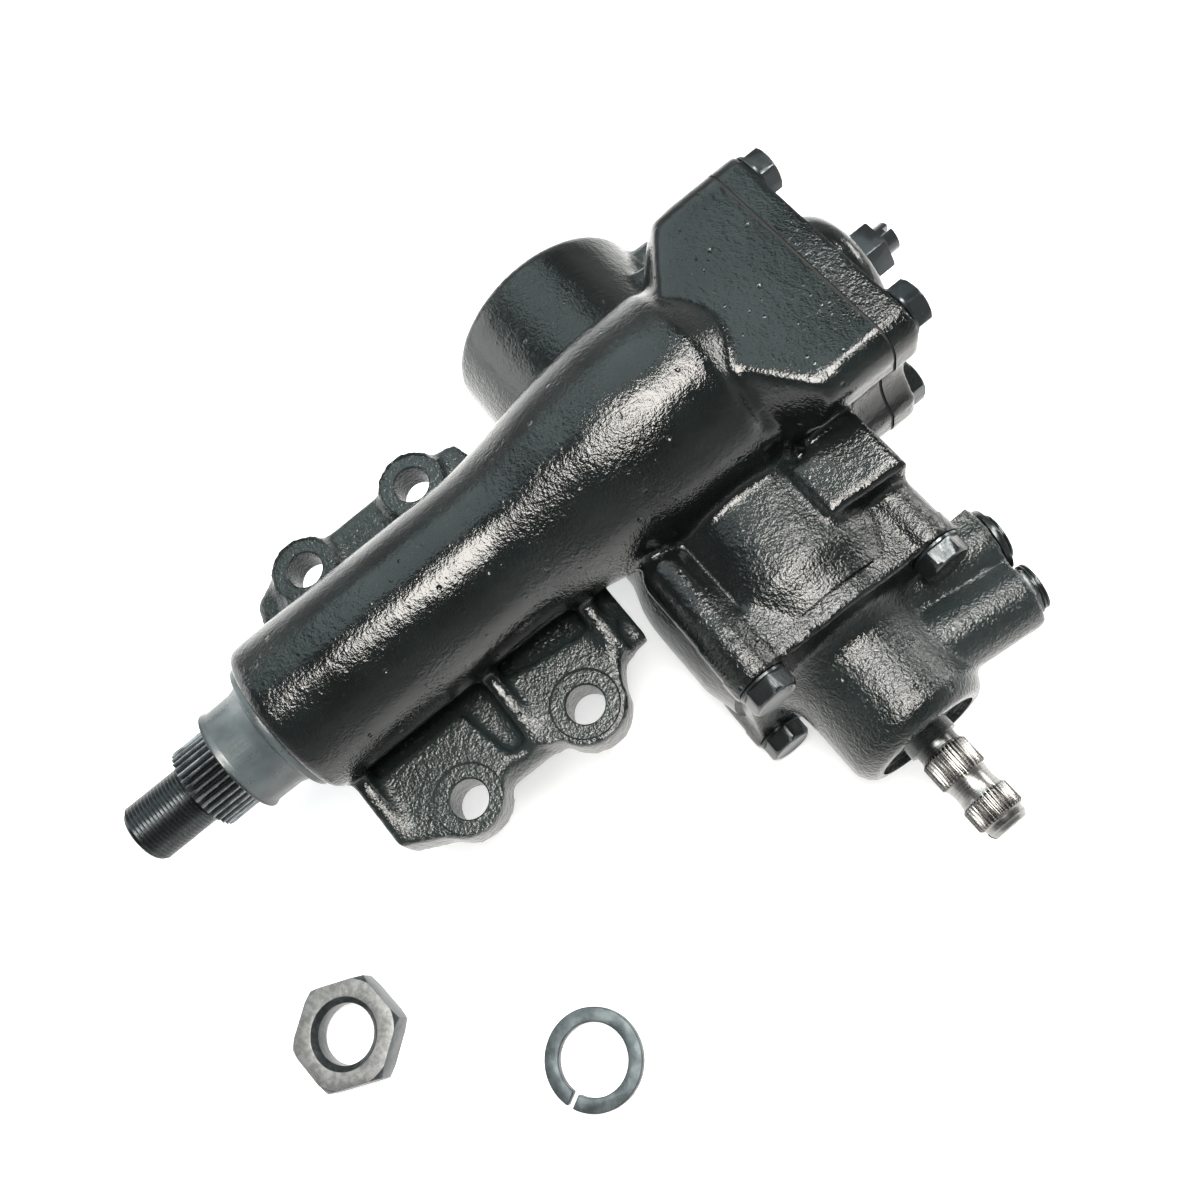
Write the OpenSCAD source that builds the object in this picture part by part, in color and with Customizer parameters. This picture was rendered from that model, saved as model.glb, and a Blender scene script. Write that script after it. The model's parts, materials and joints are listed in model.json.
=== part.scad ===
// Power steering gearbox: recirculating-ball worm, rack piston and sector shaft in a cast housing.
// Origin at the centre of the four mounting bolts, on the mounting face.
// +X runs along the worm to the input shaft, +Y along the sector shaft to the top cover, +Z away from the frame.

/* [Mounting flange] */
// Distance between the mounting bolts along the worm
bolt_span_x = 120; // [110:1:130]
// Distance between the mounting bolts along the sector shaft
bolt_span_y = 55; // [48:1:62]
// Diameter of the mounting bolt holes
bolt_hole_d = 15; // [12:0.5:17]
// Thickness of the mounting ears
ear_t = 16; // [13:0.5:20]
// Radius of the ear around a bolt hole
ear_r = 16; // [14.5:0.5:18]
// Diameter of the machined spot face around a bolt hole
spot_d = 26; // [22:0.5:28]
// Depth of the spot face
spot_depth = 1.2; // [0.6:0.1:2]
// Thickness of the web that ties the ears to the barrel
web_t = 9; // [7:0.5:11]
// Thickness of the stiffening ribs
rib_t = 7; // [5:0.5:8]
// Width of the groove between the two raised plates
plate_groove = 13; // [8:0.5:14]
// Distance from the bolt line to the outer edge of the left strip
strip_edge = 8.5; // [7:0.5:11]
// Distance from the outer bolts to the ends of the ears
ear_run = 27; // [24:0.5:30]

/* [Barrel and gear box] */
// Distance from the bolt centre to the lower end of the barrel
barrel_reach = 62; // [60:0.5:66]
// Radius of the barrel
barrel_r = 32.5; // [31:0.5:34]
// Radius on the lower rim of the barrel
rim_round = 4; // [2:0.5:5]
// Distance from the bolt centre to the start of the flare
flare_reach = 30; // [24:1:36]
// Radius of the bulge round the sector teeth
bulge_r = 43; // [41:0.5:45]
// Half width of the box between the bulge and the cylinder
box_half = 41; // [39:0.5:43]
// Length of the lugs below the cover joint
lug_drop = 18; // [16:0.5:20]

/* [Sector shaft] */
// Height of the sector shaft axis above the mounting face
sector_height = 38; // [36:0.5:42]
// Distance from the bolt centre to the threaded tip of the sector shaft
tip_reach = 127.5; // [120:0.5:135]
// Nominal diameter of the thread for the drop arm nut
thread_d = 24; // [22:1:27]
// Length of that thread
thread_len = 27.5; // [24:0.5:32]
// Diameter over the drop arm spline
spline_d = 33.6; // [32:0.2:35]
// Length of the drop arm spline
spline_len = 16.5; // [15:0.5:17]
// Number of spline teeth
spline_teeth = 36; // [30:1:44]
// Diameter of the bearing journal
journal_d = 37; // [36:0.5:38]
// Diameter of the shaft where the sector teeth stand on it
neck_d = 33.8; // [32:0.2:34]
// Length of the journal inside the top cover
top_journal_len = 27; // [24:0.5:30]

/* [Sector and rack] */
// Module of the sector and rack teeth
gear_module = 5.5; // [5.2:0.1:5.6]
// Teeth that a full sector circle would have
full_teeth = 8; // [8:1:8]
// Pressure angle of the teeth
pressure_angle = 30; // [29:0.5:31]
// Tooth height above the pitch line, in modules
addendum = 0.85; // [0.8:0.01:0.88]
// Play between the tooth flanks
backlash = 0.24; // [0.16:0.02:0.4]
// Gap between a tooth tip and the root facing it
tip_gap = 0.5; // [0.4:0.1:0.8]
// Face width of the sector teeth
sector_face = 36; // [30:0.5:40]
// Distance between the sector axis and the worm axis
centre_distance = 47; // [46.5:0.1:47.6]

/* [Worm and ball nut] */
// Distance from the bolt centre to the worm axis
worm_reach = 117; // [114:0.5:120]
// Advance of the ball nut in one turn of the worm
lead = 11; // [10:0.5:12]
// Diameter of the recirculating balls
ball_d = 5.5; // [5:0.1:5.6]
// Radius of the circle on which the ball centres run
ball_circle_r = 11.2; // [11:0.1:11.6]
// Gap between a ball and the flank of its groove
groove_gap = 0.22; // [0.18:0.02:0.26]
// Turns of balls in the nut
ball_turns = 2.5; // [2:0.5:2.5]
// Length of the ball nut
nut_len = 32; // [30:0.5:34]
// Outer radius of the ball nut
nut_r = 15.6; // [15.4:0.1:16.2]

/* [Cylinder and piston] */
// Bore of the power cylinder
cylinder_bore = 78; // [76:0.5:78.5]
// Wall of the closed cup of the cylinder
cup_wall = 7; // [6:0.5:9]
// Outside radius of the cylinder where it meets the valve housing
cylinder_head_r = 51; // [50:0.5:53]
// Distance from the sector axis to the closed end of the cup
cup_reach = 97; // [95:0.5:102]
// Distance from the sector axis to the joint with the valve housing
joint_reach = 92; // [90:0.5:96]
// Length of the piston on the cup side
piston_left = 56; // [52:0.5:60]
// Length of the piston on the valve side
piston_right = 40; // [38:0.5:42]
// Distance from the sector axis to the outer end of the ledge beside the cup
ledge_reach = 66; // [62:0.5:70]
// Width of the ledge along the sector shaft
ledge_w = 56; // [50:0.5:58]
// Height of the ledge above the mounting face
ledge_height = 25; // [22:0.5:28]
// Length of the flat pad along the worm
pad_len = 32; // [28:0.5:34]
// Width of the flat pad along the sector shaft
pad_w = 32; // [28:0.5:34]
// Height of the flat pad above the mounting face
pad_height = 42.5; // [40:0.5:44]
// Nominal diameter of the cylinder plug
plug_d = 8; // [6:1:10]
// Nominal diameter of the relief plug
relief_d = 12; // [10:1:13]

/* [Top cover] */
// Distance from the bolt centre to the cover joint
cover_reach = 183; // [180:0.5:188]
// Thickness of the cover plate
cover_t = 12; // [10:0.5:14]
// Distance between the cover bolts along the worm
cover_span_x = 78; // [75:0.5:82]
// Distance between the cover bolts across the worm
cover_span_z = 54; // [52:0.5:57]
// Radius of the cover lugs
lug_r = 12; // [11:0.5:13]
// Depth of the scallop between the lugs at each end of the cover
cover_scallop = 7; // [4:0.5:9]
// Height of the dome over the adjuster
dome_h = 15; // [12:0.5:18]
// Radius of the dome
dome_r = 27.5; // [26:0.5:29]
// Nominal diameter of the cover bolts
cover_bolt_d = 10; // [8:1:10]
// Nominal diameter of the adjusting screw
adjuster_d = 12; // [10:1:13]
// Length of the adjusting screw above the dome
adjuster_out = 16.5; // [14:0.5:22]

/* [Valve housing] */
// Thickness of the valve housing flange
valve_flange_t = 8; // [8:0.5:12]
// Distance between the valve bolts along the sector shaft
valve_span_y = 78; // [74:0.5:82]
// Distance between the two valve bolts beside the barrel
valve_span_near = 80; // [76:0.5:84]
// Distance between the two valve bolts beside the ports
valve_span_far = 62; // [58:0.5:66]
// Shift of the valve bolts towards the cover
valve_shift = 2.5; // [0:0.5:4]
// Radius of the lugs round the valve bolts
valve_lug_r = 11; // [10:0.5:12]
// Depth of the valve bolts in the gear housing
valve_thread = 18; // [15:1:22]
// Length of the bolt column beside the barrel
valve_column = 44; // [34:1:48]
// Nominal diameter of the valve bolts
valve_bolt_d = 10; // [8:1:10]
// Outside radius of the valve housing
valve_r = 29; // [28:0.5:31]
// Distance from the sector axis to the end of the valve housing
valve_reach = 144.5; // [143:0.5:150]
// Bore of the valve housing around the valve sleeve
valve_bore = 37; // [36:0.5:38]
// Outside diameter of the input oil seal
input_seal_d = 42; // [40:0.5:44]
// Radius of a port boss
port_r = 14; // [12.5:0.5:15]
// Distance from the worm axis to the port faces
port_reach = 62; // [60:0.5:65]
// Lean of the ports towards the input end
port_lean = 8; // [5:1:10]
// Bore of a port
port_bore = 14; // [12:0.5:16]
// Length of a union outside its port
union_out = 5; // [4:0.5:8]
// Bore through a union
union_bore = 8; // [7:0.5:9]

/* [Input shaft] */
// Diameter over the input splines
input_spline_d = 19.2; // [18:0.2:19.6]
// Number of input spline teeth
input_teeth = 36; // [28:1:40]
// Diameter of the waist between the two splined lengths
input_waist_d = 16; // [14:0.5:17]
// Diameter of the shaft in its seal and bearing
input_journal_d = 19.8; // [19.6:0.1:20.4]
// Diameter of the torsion bar
torsion_d = 6.4; // [6:0.2:7]

/* [Drop arm fasteners] */
// Place of the loose nut beside the gear
nut_place = [83, -133.5]; // [-300:0.5:300]
// Place of the loose washer beside the gear
washer_place = [152, -58.5]; // [-300:0.5:300]
// Width across the flats of the drop arm nut
arm_nut_af = 41; // [36:1:42]
// Height of the drop arm nut
arm_nut_h = 13; // [12:0.5:20]
// Outside diameter of the split washer
washer_d = 39.5; // [36:0.5:42]
// Thickness of the split washer
washer_t = 5; // [4:0.5:6]

/* [Bearings and seals] */
// Diameter of the sector shaft rollers
roller_d = 3; // [2.5:0.1:3.2]
// Play of the rollers on the journal and in the cup
roller_gap = 0.03; // [0.02:0.01:0.05]
// Wall of the roller bearing cups
cup_t = 2; // [1.5:0.1:2.2]
// Length of the roller bearings
bearing_len = 24; // [20:0.5:26]
// Distance below the bolt centre to the foot of the lower roller bearing
lower_bearing_reach = 40; // [36:0.5:42]
// Distance above the bolt centre to the foot of the upper roller bearing
upper_bearing_reach = 56; // [50:0.5:60]
// Length of the dust seal on the sector shaft
dust_len = 22.2; // [20:0.2:23]
// Extra radius of the oil seal over the bearing cup
seal_wall = 1.5; // [1:0.1:2]
// Length of the sector oil seal
seal_len = 9; // [7:0.5:10]
// Radius of the worm shaft in its bearing
worm_seat_r = 12.5; // [12:0.1:13]
// Outer radius of the worm bearing
bearing_out_r = 26; // [25:0.5:27]
// Width of the worm bearing
bearing_w = 14; // [12:0.5:15]
// Diameter of the worm bearing balls
bearing_ball_d = 7.4; // [7:0.1:7.8]
// Number of worm bearing balls
bearing_balls = 12; // [10:1:14]

/* [Clearances] */
// Radial clearance of parts that are pressed or screwed together
seat_gap = 0.05; // [0.03:0.01:0.08]
// Radial clearance of parts that turn or slide
run_gap = 0.08; // [0.05:0.01:0.1]

/* [Hidden] */
$fn = 72;

// Worm axis height and the two pitch sizes that follow from the teeth.
worm_z = sector_height - centre_distance;
pitch_r = gear_module * full_teeth / 2;
rack_pitch = PI * gear_module;
sector_tip_r = pitch_r + addendum * gear_module;
rack_line = centre_distance - pitch_r;
rack_root = centre_distance - sector_tip_r - tip_gap;
rack_tip = centre_distance - neck_d / 2 - tip_gap;
rack_teeth = 4;
rack_half = rack_teeth / 2 * rack_pitch - 1.3;
stroke = pitch_r * PI / 4;

// Barrel and gear chamber around the sector shaft.
barrel_end = -barrel_reach;
chamber_r = sector_tip_r + 1.8;
chamber_y = worm_reach - sector_face / 2 - 12;
box_top = sector_height + bulge_r / 2;
box_y = worm_reach - 16;
roller_circle = journal_d / 2 + roller_gap + roller_d / 2;
cup_out_r = roller_circle + roller_d / 2 + roller_gap + cup_t;
lower_bearing_y = -lower_bearing_reach;
upper_bearing_y = upper_bearing_reach;
seal_out_r = cup_out_r + seal_wall;

// Cylinder, piston and worm along X.
bore_r = cylinder_bore / 2;
cup_r = bore_r + cup_wall;
piston_r = bore_r - 0.15;
nut_x = 2;
worm_major_r = ball_circle_r - 0.6;
worm_core_r = ball_circle_r - ball_d / 2 - groove_gap;
nut_bore_r = ball_circle_r + 0.6;
thread_x0 = nut_x - stroke - 2;
thread_x1 = nut_x + nut_len + stroke + 2;
piston_hole_end = thread_x0 - 2 - stroke - 2.5;
spigot_x = piston_right + stroke + 7;
bearing_x = spigot_x + 6;
sleeve_x = joint_reach + 2;
sleeve_end = valve_reach - 13.5;
sleeve_bore_r = 13;
input_bearing_x = sleeve_end + 0.4;
input_bearing_w = 4.6;
input_seal_x = input_bearing_x + input_bearing_w + 0.4;
input_seal_w = 4.5;
snap_x = input_seal_x + input_seal_w;
spline_a = [valve_reach + 7.5, valve_reach + 19];
spline_b = [valve_reach + 28, valve_reach + 37.5];
input_end = valve_reach + 42;
// The two ports stand as close as the collars of their unions allow.
collar_rs = [port_r - 1, port_r - 4];
collar_gap = 0.25;
port_xs = [joint_reach + 3, joint_reach + 3 + collar_rs[0] + collar_rs[1] + collar_gap];
port_ends = [port_reach + 4, port_reach];
bolt_head_h = 8;
port_drop = 4;
// Depth of the cover bolts in the housing, from the room above the power cylinder.
cover_bolt_z = sector_height - cover_span_z / 2 - worm_z;
cover_room = cover_reach - worm_reach - sqrt(bore_r * bore_r - cover_bolt_z * cover_bolt_z);
cover_thread = 0.62 * cover_room;
plug_at = [-cup_reach + 15, worm_z + 6];
relief_at = [joint_reach - 12, worm_z - 7];
relief_face = worm_reach + cylinder_head_r + 3;
ground_z = worm_z - max(cylinder_head_r, valve_span_near / 2 + valve_lug_r);
valve_low_y = valve_shift - valve_span_y / 2;
valve_high_y = valve_shift + valve_span_y / 2;
valve_bolt_at = [[-valve_span_near / 2, valve_low_y], [valve_span_near / 2, valve_low_y],
    [valve_span_far / 2, valve_high_y], [-valve_span_far / 2, valve_high_y]];

// Local Z runs along the sector axis from height y0.
module along_y(y0) { translate([0, y0, sector_height]) rotate([-90, 0, 0]) children(); }

// Local Z runs along the worm axis from x0, local Y stays +Y.
module along_x(x0) { translate([x0, worm_reach, worm_z]) rotate([0, 90, 0]) children(); }

module ring(r_out, r_in, h) {
    difference() {
        cylinder(r = r_out, h = h);
        translate([0, 0, -1]) cylinder(r = r_in, h = h + 2);
    }
}

module at_corners(span_a, span_b) {
    for (a = [-1, 1], b = [-1, 1]) translate([a * span_a / 2, b * span_b / 2, 0]) children();
}

// Hexagon bolt with its seat at the origin, the head up and the shank down.
module hex_bolt(d, shank, head_h) {
    cylinder(r = d * 0.98, h = 1.4);
    translate([0, 0, 1.3]) intersection() {
        cylinder(r = d * 0.85 / cos(30), h = head_h - 1.3, $fn = 6);
        cylinder(r1 = d * 0.85 / cos(30) + 1.5, r2 = d * 0.85 - 0.4, h = head_h + 1.2 - 1.3);
    }
    translate([0, 0, -shank]) cylinder(d = d, h = shank + 0.1);
}

// Hexagon nut across flats af with a plain bore.
module hex_nut(af, h, bore) {
    difference() {
        intersection() {
            cylinder(r = af / 2 / cos(30), h = h, $fn = 6);
            cylinder(r1 = af / 2 + h, r2 = af / 2 - 0.3, h = h + 1.5);
            translate([0, 0, -1.5]) cylinder(r1 = af / 2 - 0.3, r2 = af / 2 + h, h = h + 1.5);
        }
        translate([0, 0, -1]) cylinder(r = bore, h = h + 2);
    }
}

// Spline profile with straight flanks.
module spline_2d(d, teeth, depth) {
    step = 360 / teeth;
    polygon([for (i = [0 : teeth - 1], k = [[0.02, 0], [0.3, 1], [0.52, 1], [0.8, 0]])
        let (a = (i + k[0]) * step, r = d / 2 - depth + k[1] * depth) [r * cos(a), r * sin(a)]]);
}

// Involute flank angle at radius r, in degrees.
function involute(r, base) = r <= base ? 0 : let (t = sqrt(r * r / base / base - 1)) t * 180 / PI - atan(t);

// One sector tooth pointing along -Y of the profile plane.
module sector_tooth_2d() {
    base = pitch_r * cos(pressure_angle);
    half = (90 / full_teeth) - backlash / 4 / pitch_r * 180 / PI + involute(pitch_r, base);
    radii = [for (i = [0 : 7]) base + (sector_tip_r - base) * i / 7];
    left = [for (r = radii) let (a = -90 - half + involute(r, base)) [r * cos(a), r * sin(a)]];
    right = [for (i = [7 : -1 : 0]) let (r = radii[i], a = -90 + half - involute(r, base)) [r * cos(a), r * sin(a)]];
    foot = neck_d / 2 - 1;
    polygon(concat([[foot * cos(-90 - half), foot * sin(-90 - half)]], left, right,
        [[foot * cos(-90 + half), foot * sin(-90 + half)]]));
}

// Cross-section of the worm: the ball groove cut at its helix, seen square to the axis.
function groove_r(phi, gap) = let (u = phi / 360 * lead, g = ball_d / 2 + gap) sqrt(max(0, g * g - u * u));

module worm_2d() {
    polygon([for (phi = [-180 : 18 : 162])
        let (r = min(worm_major_r, ball_circle_r - groove_r(phi, groove_gap))) [r * cos(phi), r * sin(phi)]]);
}

module nut_bore_2d() {
    polygon([for (phi = [-180 : 18 : 162])
        let (r = max(nut_bore_r, ball_circle_r + groove_r(phi, groove_gap))) [r * cos(phi), r * sin(phi)]]);
}

// Outline of the cover and of the housing flange below it, in X and the depth axis.
module cover_2d(r) {
    half = cover_span_z / 2 - lug_r + 2;
    scallop_r = (half * half + cover_scallop * cover_scallop) / (2 * cover_scallop);
    difference() {
        round_rect(cover_span_x / 2 + r, cover_span_z / 2 + r - 3, r - 2);
        for (s = [-1, 1])
            translate([s * (cover_span_x / 2 + r - cover_scallop + scallop_r), 0]) circle(r = scallop_r);
    }
}

// Places of the valve bolts, in the plane of the joint.
module at_valve_bolts() {
    for (p = valve_bolt_at) translate(p) children();
}

// Outline of the valve joint: a lug round each bolt and straight sides between the lugs.
module joint_2d(r) {
    circle(r = cylinder_head_r - 6);
    polygon(valve_bolt_at);
    at_valve_bolts() circle(r = r);
    for (i = [0 : 3]) {
        p = valve_bolt_at[i];
        side = valve_bolt_at[(i + 1) % 4] - p;
        translate(p) rotate(atan2(side[1], side[0])) translate([0, 3 - r]) square([norm(side), r]);
    }
    // Lobe under the pressure port.
    translate([-port_drop - port_r + 2, 0]) square([2 * port_r - 4, valve_high_y + r - 4]);
}

// Rounded rectangle of half sizes a and b.
module round_rect(a, b, r) {
    square([2 * a, 2 * b - 2 * r], center = true);
    square([2 * a - 2 * r, 2 * b], center = true);
    at_corners(2 * a - 2 * r, 2 * b - 2 * r) circle(r = r);
}

// Barrel, turned about the sector axis, with a rounded lower rim and a flare into the gear box.
module barrel() {
    along_y(0) rotate_extrude() polygon(concat([[0, barrel_end]],
        [for (a = [-90 : 15 : 0]) [barrel_r - rim_round + rim_round * cos(a), barrel_end + rim_round + rim_round * sin(a)]],
        [for (t = [0 : 0.1 : 1]) [barrel_r + (bulge_r - barrel_r) * (1 - cos(180 * t)) / 2, flare_reach + (worm_reach - 6 - flare_reach) * t]],
        [[bulge_r, worm_reach + 16], [bulge_r - 2, worm_reach + 20], [barrel_r, worm_reach + 36], [0, worm_reach + 36]]));
}

// Upper box round the sector teeth, and the flange with bolt columns for the cover.
module gear_box() {
    low = worm_z + 6;
    mid = (box_top + low) / 2;
    translate([0, box_y, mid]) rotate([-90, 0, 0])
        linear_extrude(cover_reach - box_y - 8) round_rect(box_half, (box_top - low) / 2, 12);
    // Columns of the two outer cover bolts, with rounded feet.
    for (s = [-1, 1]) along_y(cover_reach - lug_drop) translate([s * (cover_span_x / 2 + 2), 1 - cover_span_z / 2]) {
        sphere(r = lug_r - 2);
        cylinder(r = lug_r - 2, h = lug_drop);
    }
    // Flange under the cover: a cone cuts its lugs back towards the bulge.
    lean_y = cover_reach - lug_drop - 29;
    intersection() {
        along_y(lean_y) linear_extrude(cover_reach - lean_y) cover_2d(lug_r - 0.5);
        along_y(lean_y) cylinder(r1 = bulge_r - 6, r2 = bulge_r - 6 + cover_reach - lean_y, h = cover_reach - lean_y);
    }
}

// Power cylinder with a rounded closed end and a thicker head at the valve joint.
module cylinder_casting() {
    round_r = 5;
    along_x(0) rotate_extrude() polygon(concat([[0, -cup_reach]],
        [for (a = [-90 : 15 : 0]) [cup_r - round_r + round_r * cos(a), -cup_reach + round_r + round_r * sin(a)]],
        [[cup_r, 26], [cylinder_head_r - 1, 38], [cylinder_head_r, 46], [cylinder_head_r, joint_reach - 14],
         [cylinder_head_r - 4, joint_reach], [0, joint_reach]]));
    along_x(joint_reach - 15) linear_extrude(15) joint_2d(valve_lug_r - 0.5);
    // Bolt columns: a long one beside the barrel, short ones elsewhere.
    for (i = [0 : 3]) {
        length = i == 0 ? valve_column : valve_thread + 8;
        along_x(joint_reach - length) translate(valve_bolt_at[i]) {
            sphere(r = valve_lug_r - 1);
            cylinder(r = valve_lug_r - 1, h = length);
        }
    }
    translate([-ledge_reach, worm_reach + 12 - ledge_w / 2, worm_z])
        cube([ledge_reach + box_half + 3, ledge_w, ledge_height - worm_z]);
}

// Flat pad on top of the cylinder head.
module pad_2d() {
    x0 = joint_reach - 48.5;
    y0 = worm_reach + 19;
    polygon([[x0, y0 + pad_w], [x0 + pad_len, y0 + pad_w], [x0 + pad_len - 3, y0], [x0 + 6, y0]]);
}

module pad() {
    translate([0, 0, worm_z + 20]) linear_extrude(pad_height - worm_z - 20) pad_2d();
}

// Mounting ears: a strip on the left, two raised plates on a web on the right, and the ribs.
module ears() {
    hx = bolt_span_x / 2;
    hy = bolt_span_y / 2;
    plate_top = ear_t;
    plate_x = barrel_r - 0.5;
    groove_y = -hy + ear_r;
    for (y = [-hy, hy]) translate([-hx, y, 0]) cylinder(r = ear_r - 1.5, h = ear_t);
    translate([hx - 2.5, -hy - 1, 0]) cylinder(r = ear_r, h = ear_t);
    translate([hx, hy, 0]) cylinder(r = ear_r, h = ear_t);
    linear_extrude(ear_t - 4)
        polygon([[-hx - strip_edge, -hy], [-hx - strip_edge, hy + 8], [-hx - 5, hy + ear_run - 3], [-hx + 4, hy + ear_run - 1],
            [-box_half / 2, hy + ear_run + 3], [-box_half / 2, -hy - ear_run], [-hx + 8, -hy - ear_run - 1],
            [-hx - 3, -hy - ear_run + 2], [-hx - 13, -hy - 6]]);
    // Web under the right ears, and the two plates that stand on it.
    linear_extrude(web_t)
        polygon([[hx + 3, -hy], [hx + 4, hy], [hx - 7, hy + ear_run - 3], [hx - 8, hy + ear_run + 7], [10, hy + ear_run + 7],
            [10, -hy - ear_run - 3], [hx - 2, -hy - ear_run - 4], [hx + 6, -hy - 15]]);
    linear_extrude(plate_top) {
        polygon([[plate_x, groove_y], [hx - 1, groove_y + plate_groove / 2], [hx + 2, -hy], [hx + 6, -hy - 15],
            [hx - 2, -hy - ear_run - 3], [plate_x, -hy - ear_run + 4]]);
        polygon([[plate_x, groove_y + plate_groove + 8], [hx - 3, groove_y + plate_groove], [hx + 4, groove_y + plate_groove + 6],
            [hx + 4, hy], [hx + 3, hy + ear_r - 1], [hx - 7, hy + ear_run - 5], [plate_x + 8, hy + ear_run + 3]]);
    }
    // Ribs across the right side, falling from the barrel to the edge of the plate.
    for (r = [[-hy - ear_run - 4, hx - 2], [groove_y + plate_groove + 1, hx - 3], [hy + ear_run - 8, hx - 7]])
        translate([0, r[0] + rib_t, 0]) rotate([90, 0, 0]) linear_extrude(rib_t)
            polygon([[0, 0], [r[1], 0], [r[1], ear_t], [barrel_r - 4, ear_t + 8], [0, sector_height]]);
    // Rim that closes the groove at the outer edge.
    translate([hx - 4, groove_y - 1, 0]) cube([6, plate_groove + 2, ear_t - 2]);
    // Ribs of the left strip.
    for (y = [-hy - 16, hy])
        translate([-hx + 6, y, 0]) rotate([90, 0, 0]) translate([0, 0, -rib_t]) linear_extrude(rib_t)
            polygon([[0, 0], [hx - 6, 0], [hx - 6, sector_height], [hx - 36, sector_height - 6], [0, ear_t - 2]]);
}

// Bosses for the cylinder plug on the cup and for the relief plug on the head.
module plug_bosses() {
    translate([plug_at[0], worm_reach + cup_r - 10, plug_at[1]]) rotate([-90, 0, 0]) cylinder(r = plug_d / 2 + 5, h = 19);
    translate([relief_at[0], worm_reach, relief_at[1]]) rotate([-90, 0, 0])
        cylinder(r = relief_d / 2 + 5, h = relief_face - worm_reach);
}

module gear_housing() {
    color("#23292c") difference() {
        union() {
            barrel();
            gear_box();
            cylinder_casting();
            pad();
            ears();
            plug_bosses();
        }
        // Mounting holes and their spot faces.
        at_corners(bolt_span_x, bolt_span_y) {
            translate([0, 0, -1]) cylinder(d = bolt_hole_d, h = ear_t + 2);
            translate([0, 0, ear_t - spot_depth]) cylinder(d = spot_d, h = sector_height);
        }
        // Bore of the sector shaft with its seal and bearing seats.
        along_y(barrel_end - 1) cylinder(r = seal_out_r, h = seal_len + 3);
        along_y(barrel_end) cylinder(r = roller_circle, h = cover_reach - barrel_end);
        along_y(lower_bearing_y) cylinder(r = cup_out_r, h = bearing_len);
        along_y(barrel_end) cylinder(r = cup_out_r, h = lower_bearing_y - barrel_end + 1);
        along_y(upper_bearing_y) cylinder(r = cup_out_r, h = chamber_y - upper_bearing_y + 1);
        along_y(chamber_y) cylinder(r = chamber_r, h = cover_reach - chamber_y + 1);
        // The flange doesn't overhang the milled pad.
        translate([0, 0, pad_height]) linear_extrude(3) pad_2d();
        // Room for the cover above its joint.
        along_y(cover_reach) linear_extrude(cover_t + dome_h) cover_2d(lug_r + 1);
        // Power cylinder bore.
        along_x(-cup_reach + cup_wall + 2) cylinder(r = bore_r, h = cup_reach + joint_reach);
        // Tapped holes for the cover and the valve housing.
        along_y(cover_reach - cover_thread - 2) at_corners(cover_span_x, cover_span_z)
            cylinder(d = cover_bolt_d + 2 * seat_gap, h = cover_thread + 3);
        along_x(joint_reach - valve_thread - 2) at_valve_bolts()
            cylinder(d = valve_bolt_d + 2 * seat_gap, h = valve_thread + 3);
        // Tapped holes of the two plugs.
        translate([plug_at[0], worm_reach, plug_at[1]]) rotate([-90, 0, 0])
            cylinder(d = plug_d + 2 * seat_gap, h = cup_r + 20);
        translate([relief_at[0], relief_face - 16, relief_at[1]]) rotate([-90, 0, 0])
            cylinder(d = relief_d + 2 * seat_gap, h = 17);
    }
}

module sector_cover() {
    color("#2b3236") difference() {
        union() {
            along_y(cover_reach + 1) linear_extrude(cover_t - 1) cover_2d(lug_r);
            // Dome round the adjuster, and the spigot that carries the bush.
            dome_round = dome_h * 0.6;
            along_y(cover_reach + cover_t - 1) rotate_extrude() polygon(concat([[0, 0], [dome_r, 0]],
                [for (a = [0 : 15 : 75]) [dome_r - dome_round * (1 - cos(a)), dome_h * 0.3 + dome_round * sin(a)]],
                [[adjuster_d, dome_h + 1], [0, dome_h + 1]]));
            along_y(cover_reach - top_journal_len + 3) cylinder(r = chamber_r - seat_gap, h = top_journal_len);
        }
        along_y(cover_reach - top_journal_len) cylinder(r = neck_d / 2 + 3.5, h = top_journal_len + 4);
        along_y(cover_reach) cylinder(r = adjuster_d / 2 + seat_gap, h = cover_t + dome_h + 2);
        along_y(cover_reach) at_corners(cover_span_x, cover_span_z)
            cylinder(d = cover_bolt_d + 1, h = cover_t + 2);
    }
}

module cover_gasket() {
    color("#15181a") along_y(cover_reach) linear_extrude(1) difference() {
        cover_2d(lug_r - 0.6);
        circle(r = chamber_r + 0.5);
        at_corners(cover_span_x, cover_span_z) circle(d = cover_bolt_d + 1);
    }
}

module cover_bolts() {
    color("#3a3f42") along_y(cover_reach + cover_t) at_corners(cover_span_x, cover_span_z)
        hex_bolt(cover_bolt_d, cover_t + cover_thread, bolt_head_h + 1);
}

// Lash adjuster: its head rides in the slot on top of the sector shaft.
module adjusting_screw() {
    head_y = cover_reach - 8;
    color("#6d7376") difference() {
        along_y(head_y) {
            cylinder(r = adjuster_d / 2 + 3, h = 4);
            cylinder(d = adjuster_d, h = cover_reach + cover_t + dome_h + adjuster_out - head_y);
        }
        along_y(cover_reach + cover_t + dome_h + adjuster_out - 2.5)
            translate([-1, -adjuster_d, 0]) cube([2, 2 * adjuster_d, 4]);
    }
}

module adjuster_lock_nut() {
    color("#4c5256") along_y(cover_reach + cover_t + dome_h) hex_nut(adjuster_d * 1.58, 10, adjuster_d / 2 + seat_gap);
}

module cover_bush() {
    color("#a98d5a") along_y(cover_reach - top_journal_len + 3)
        ring(neck_d / 2 + 3.5 - seat_gap, neck_d / 2 + run_gap, top_journal_len - 4);
}

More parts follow.
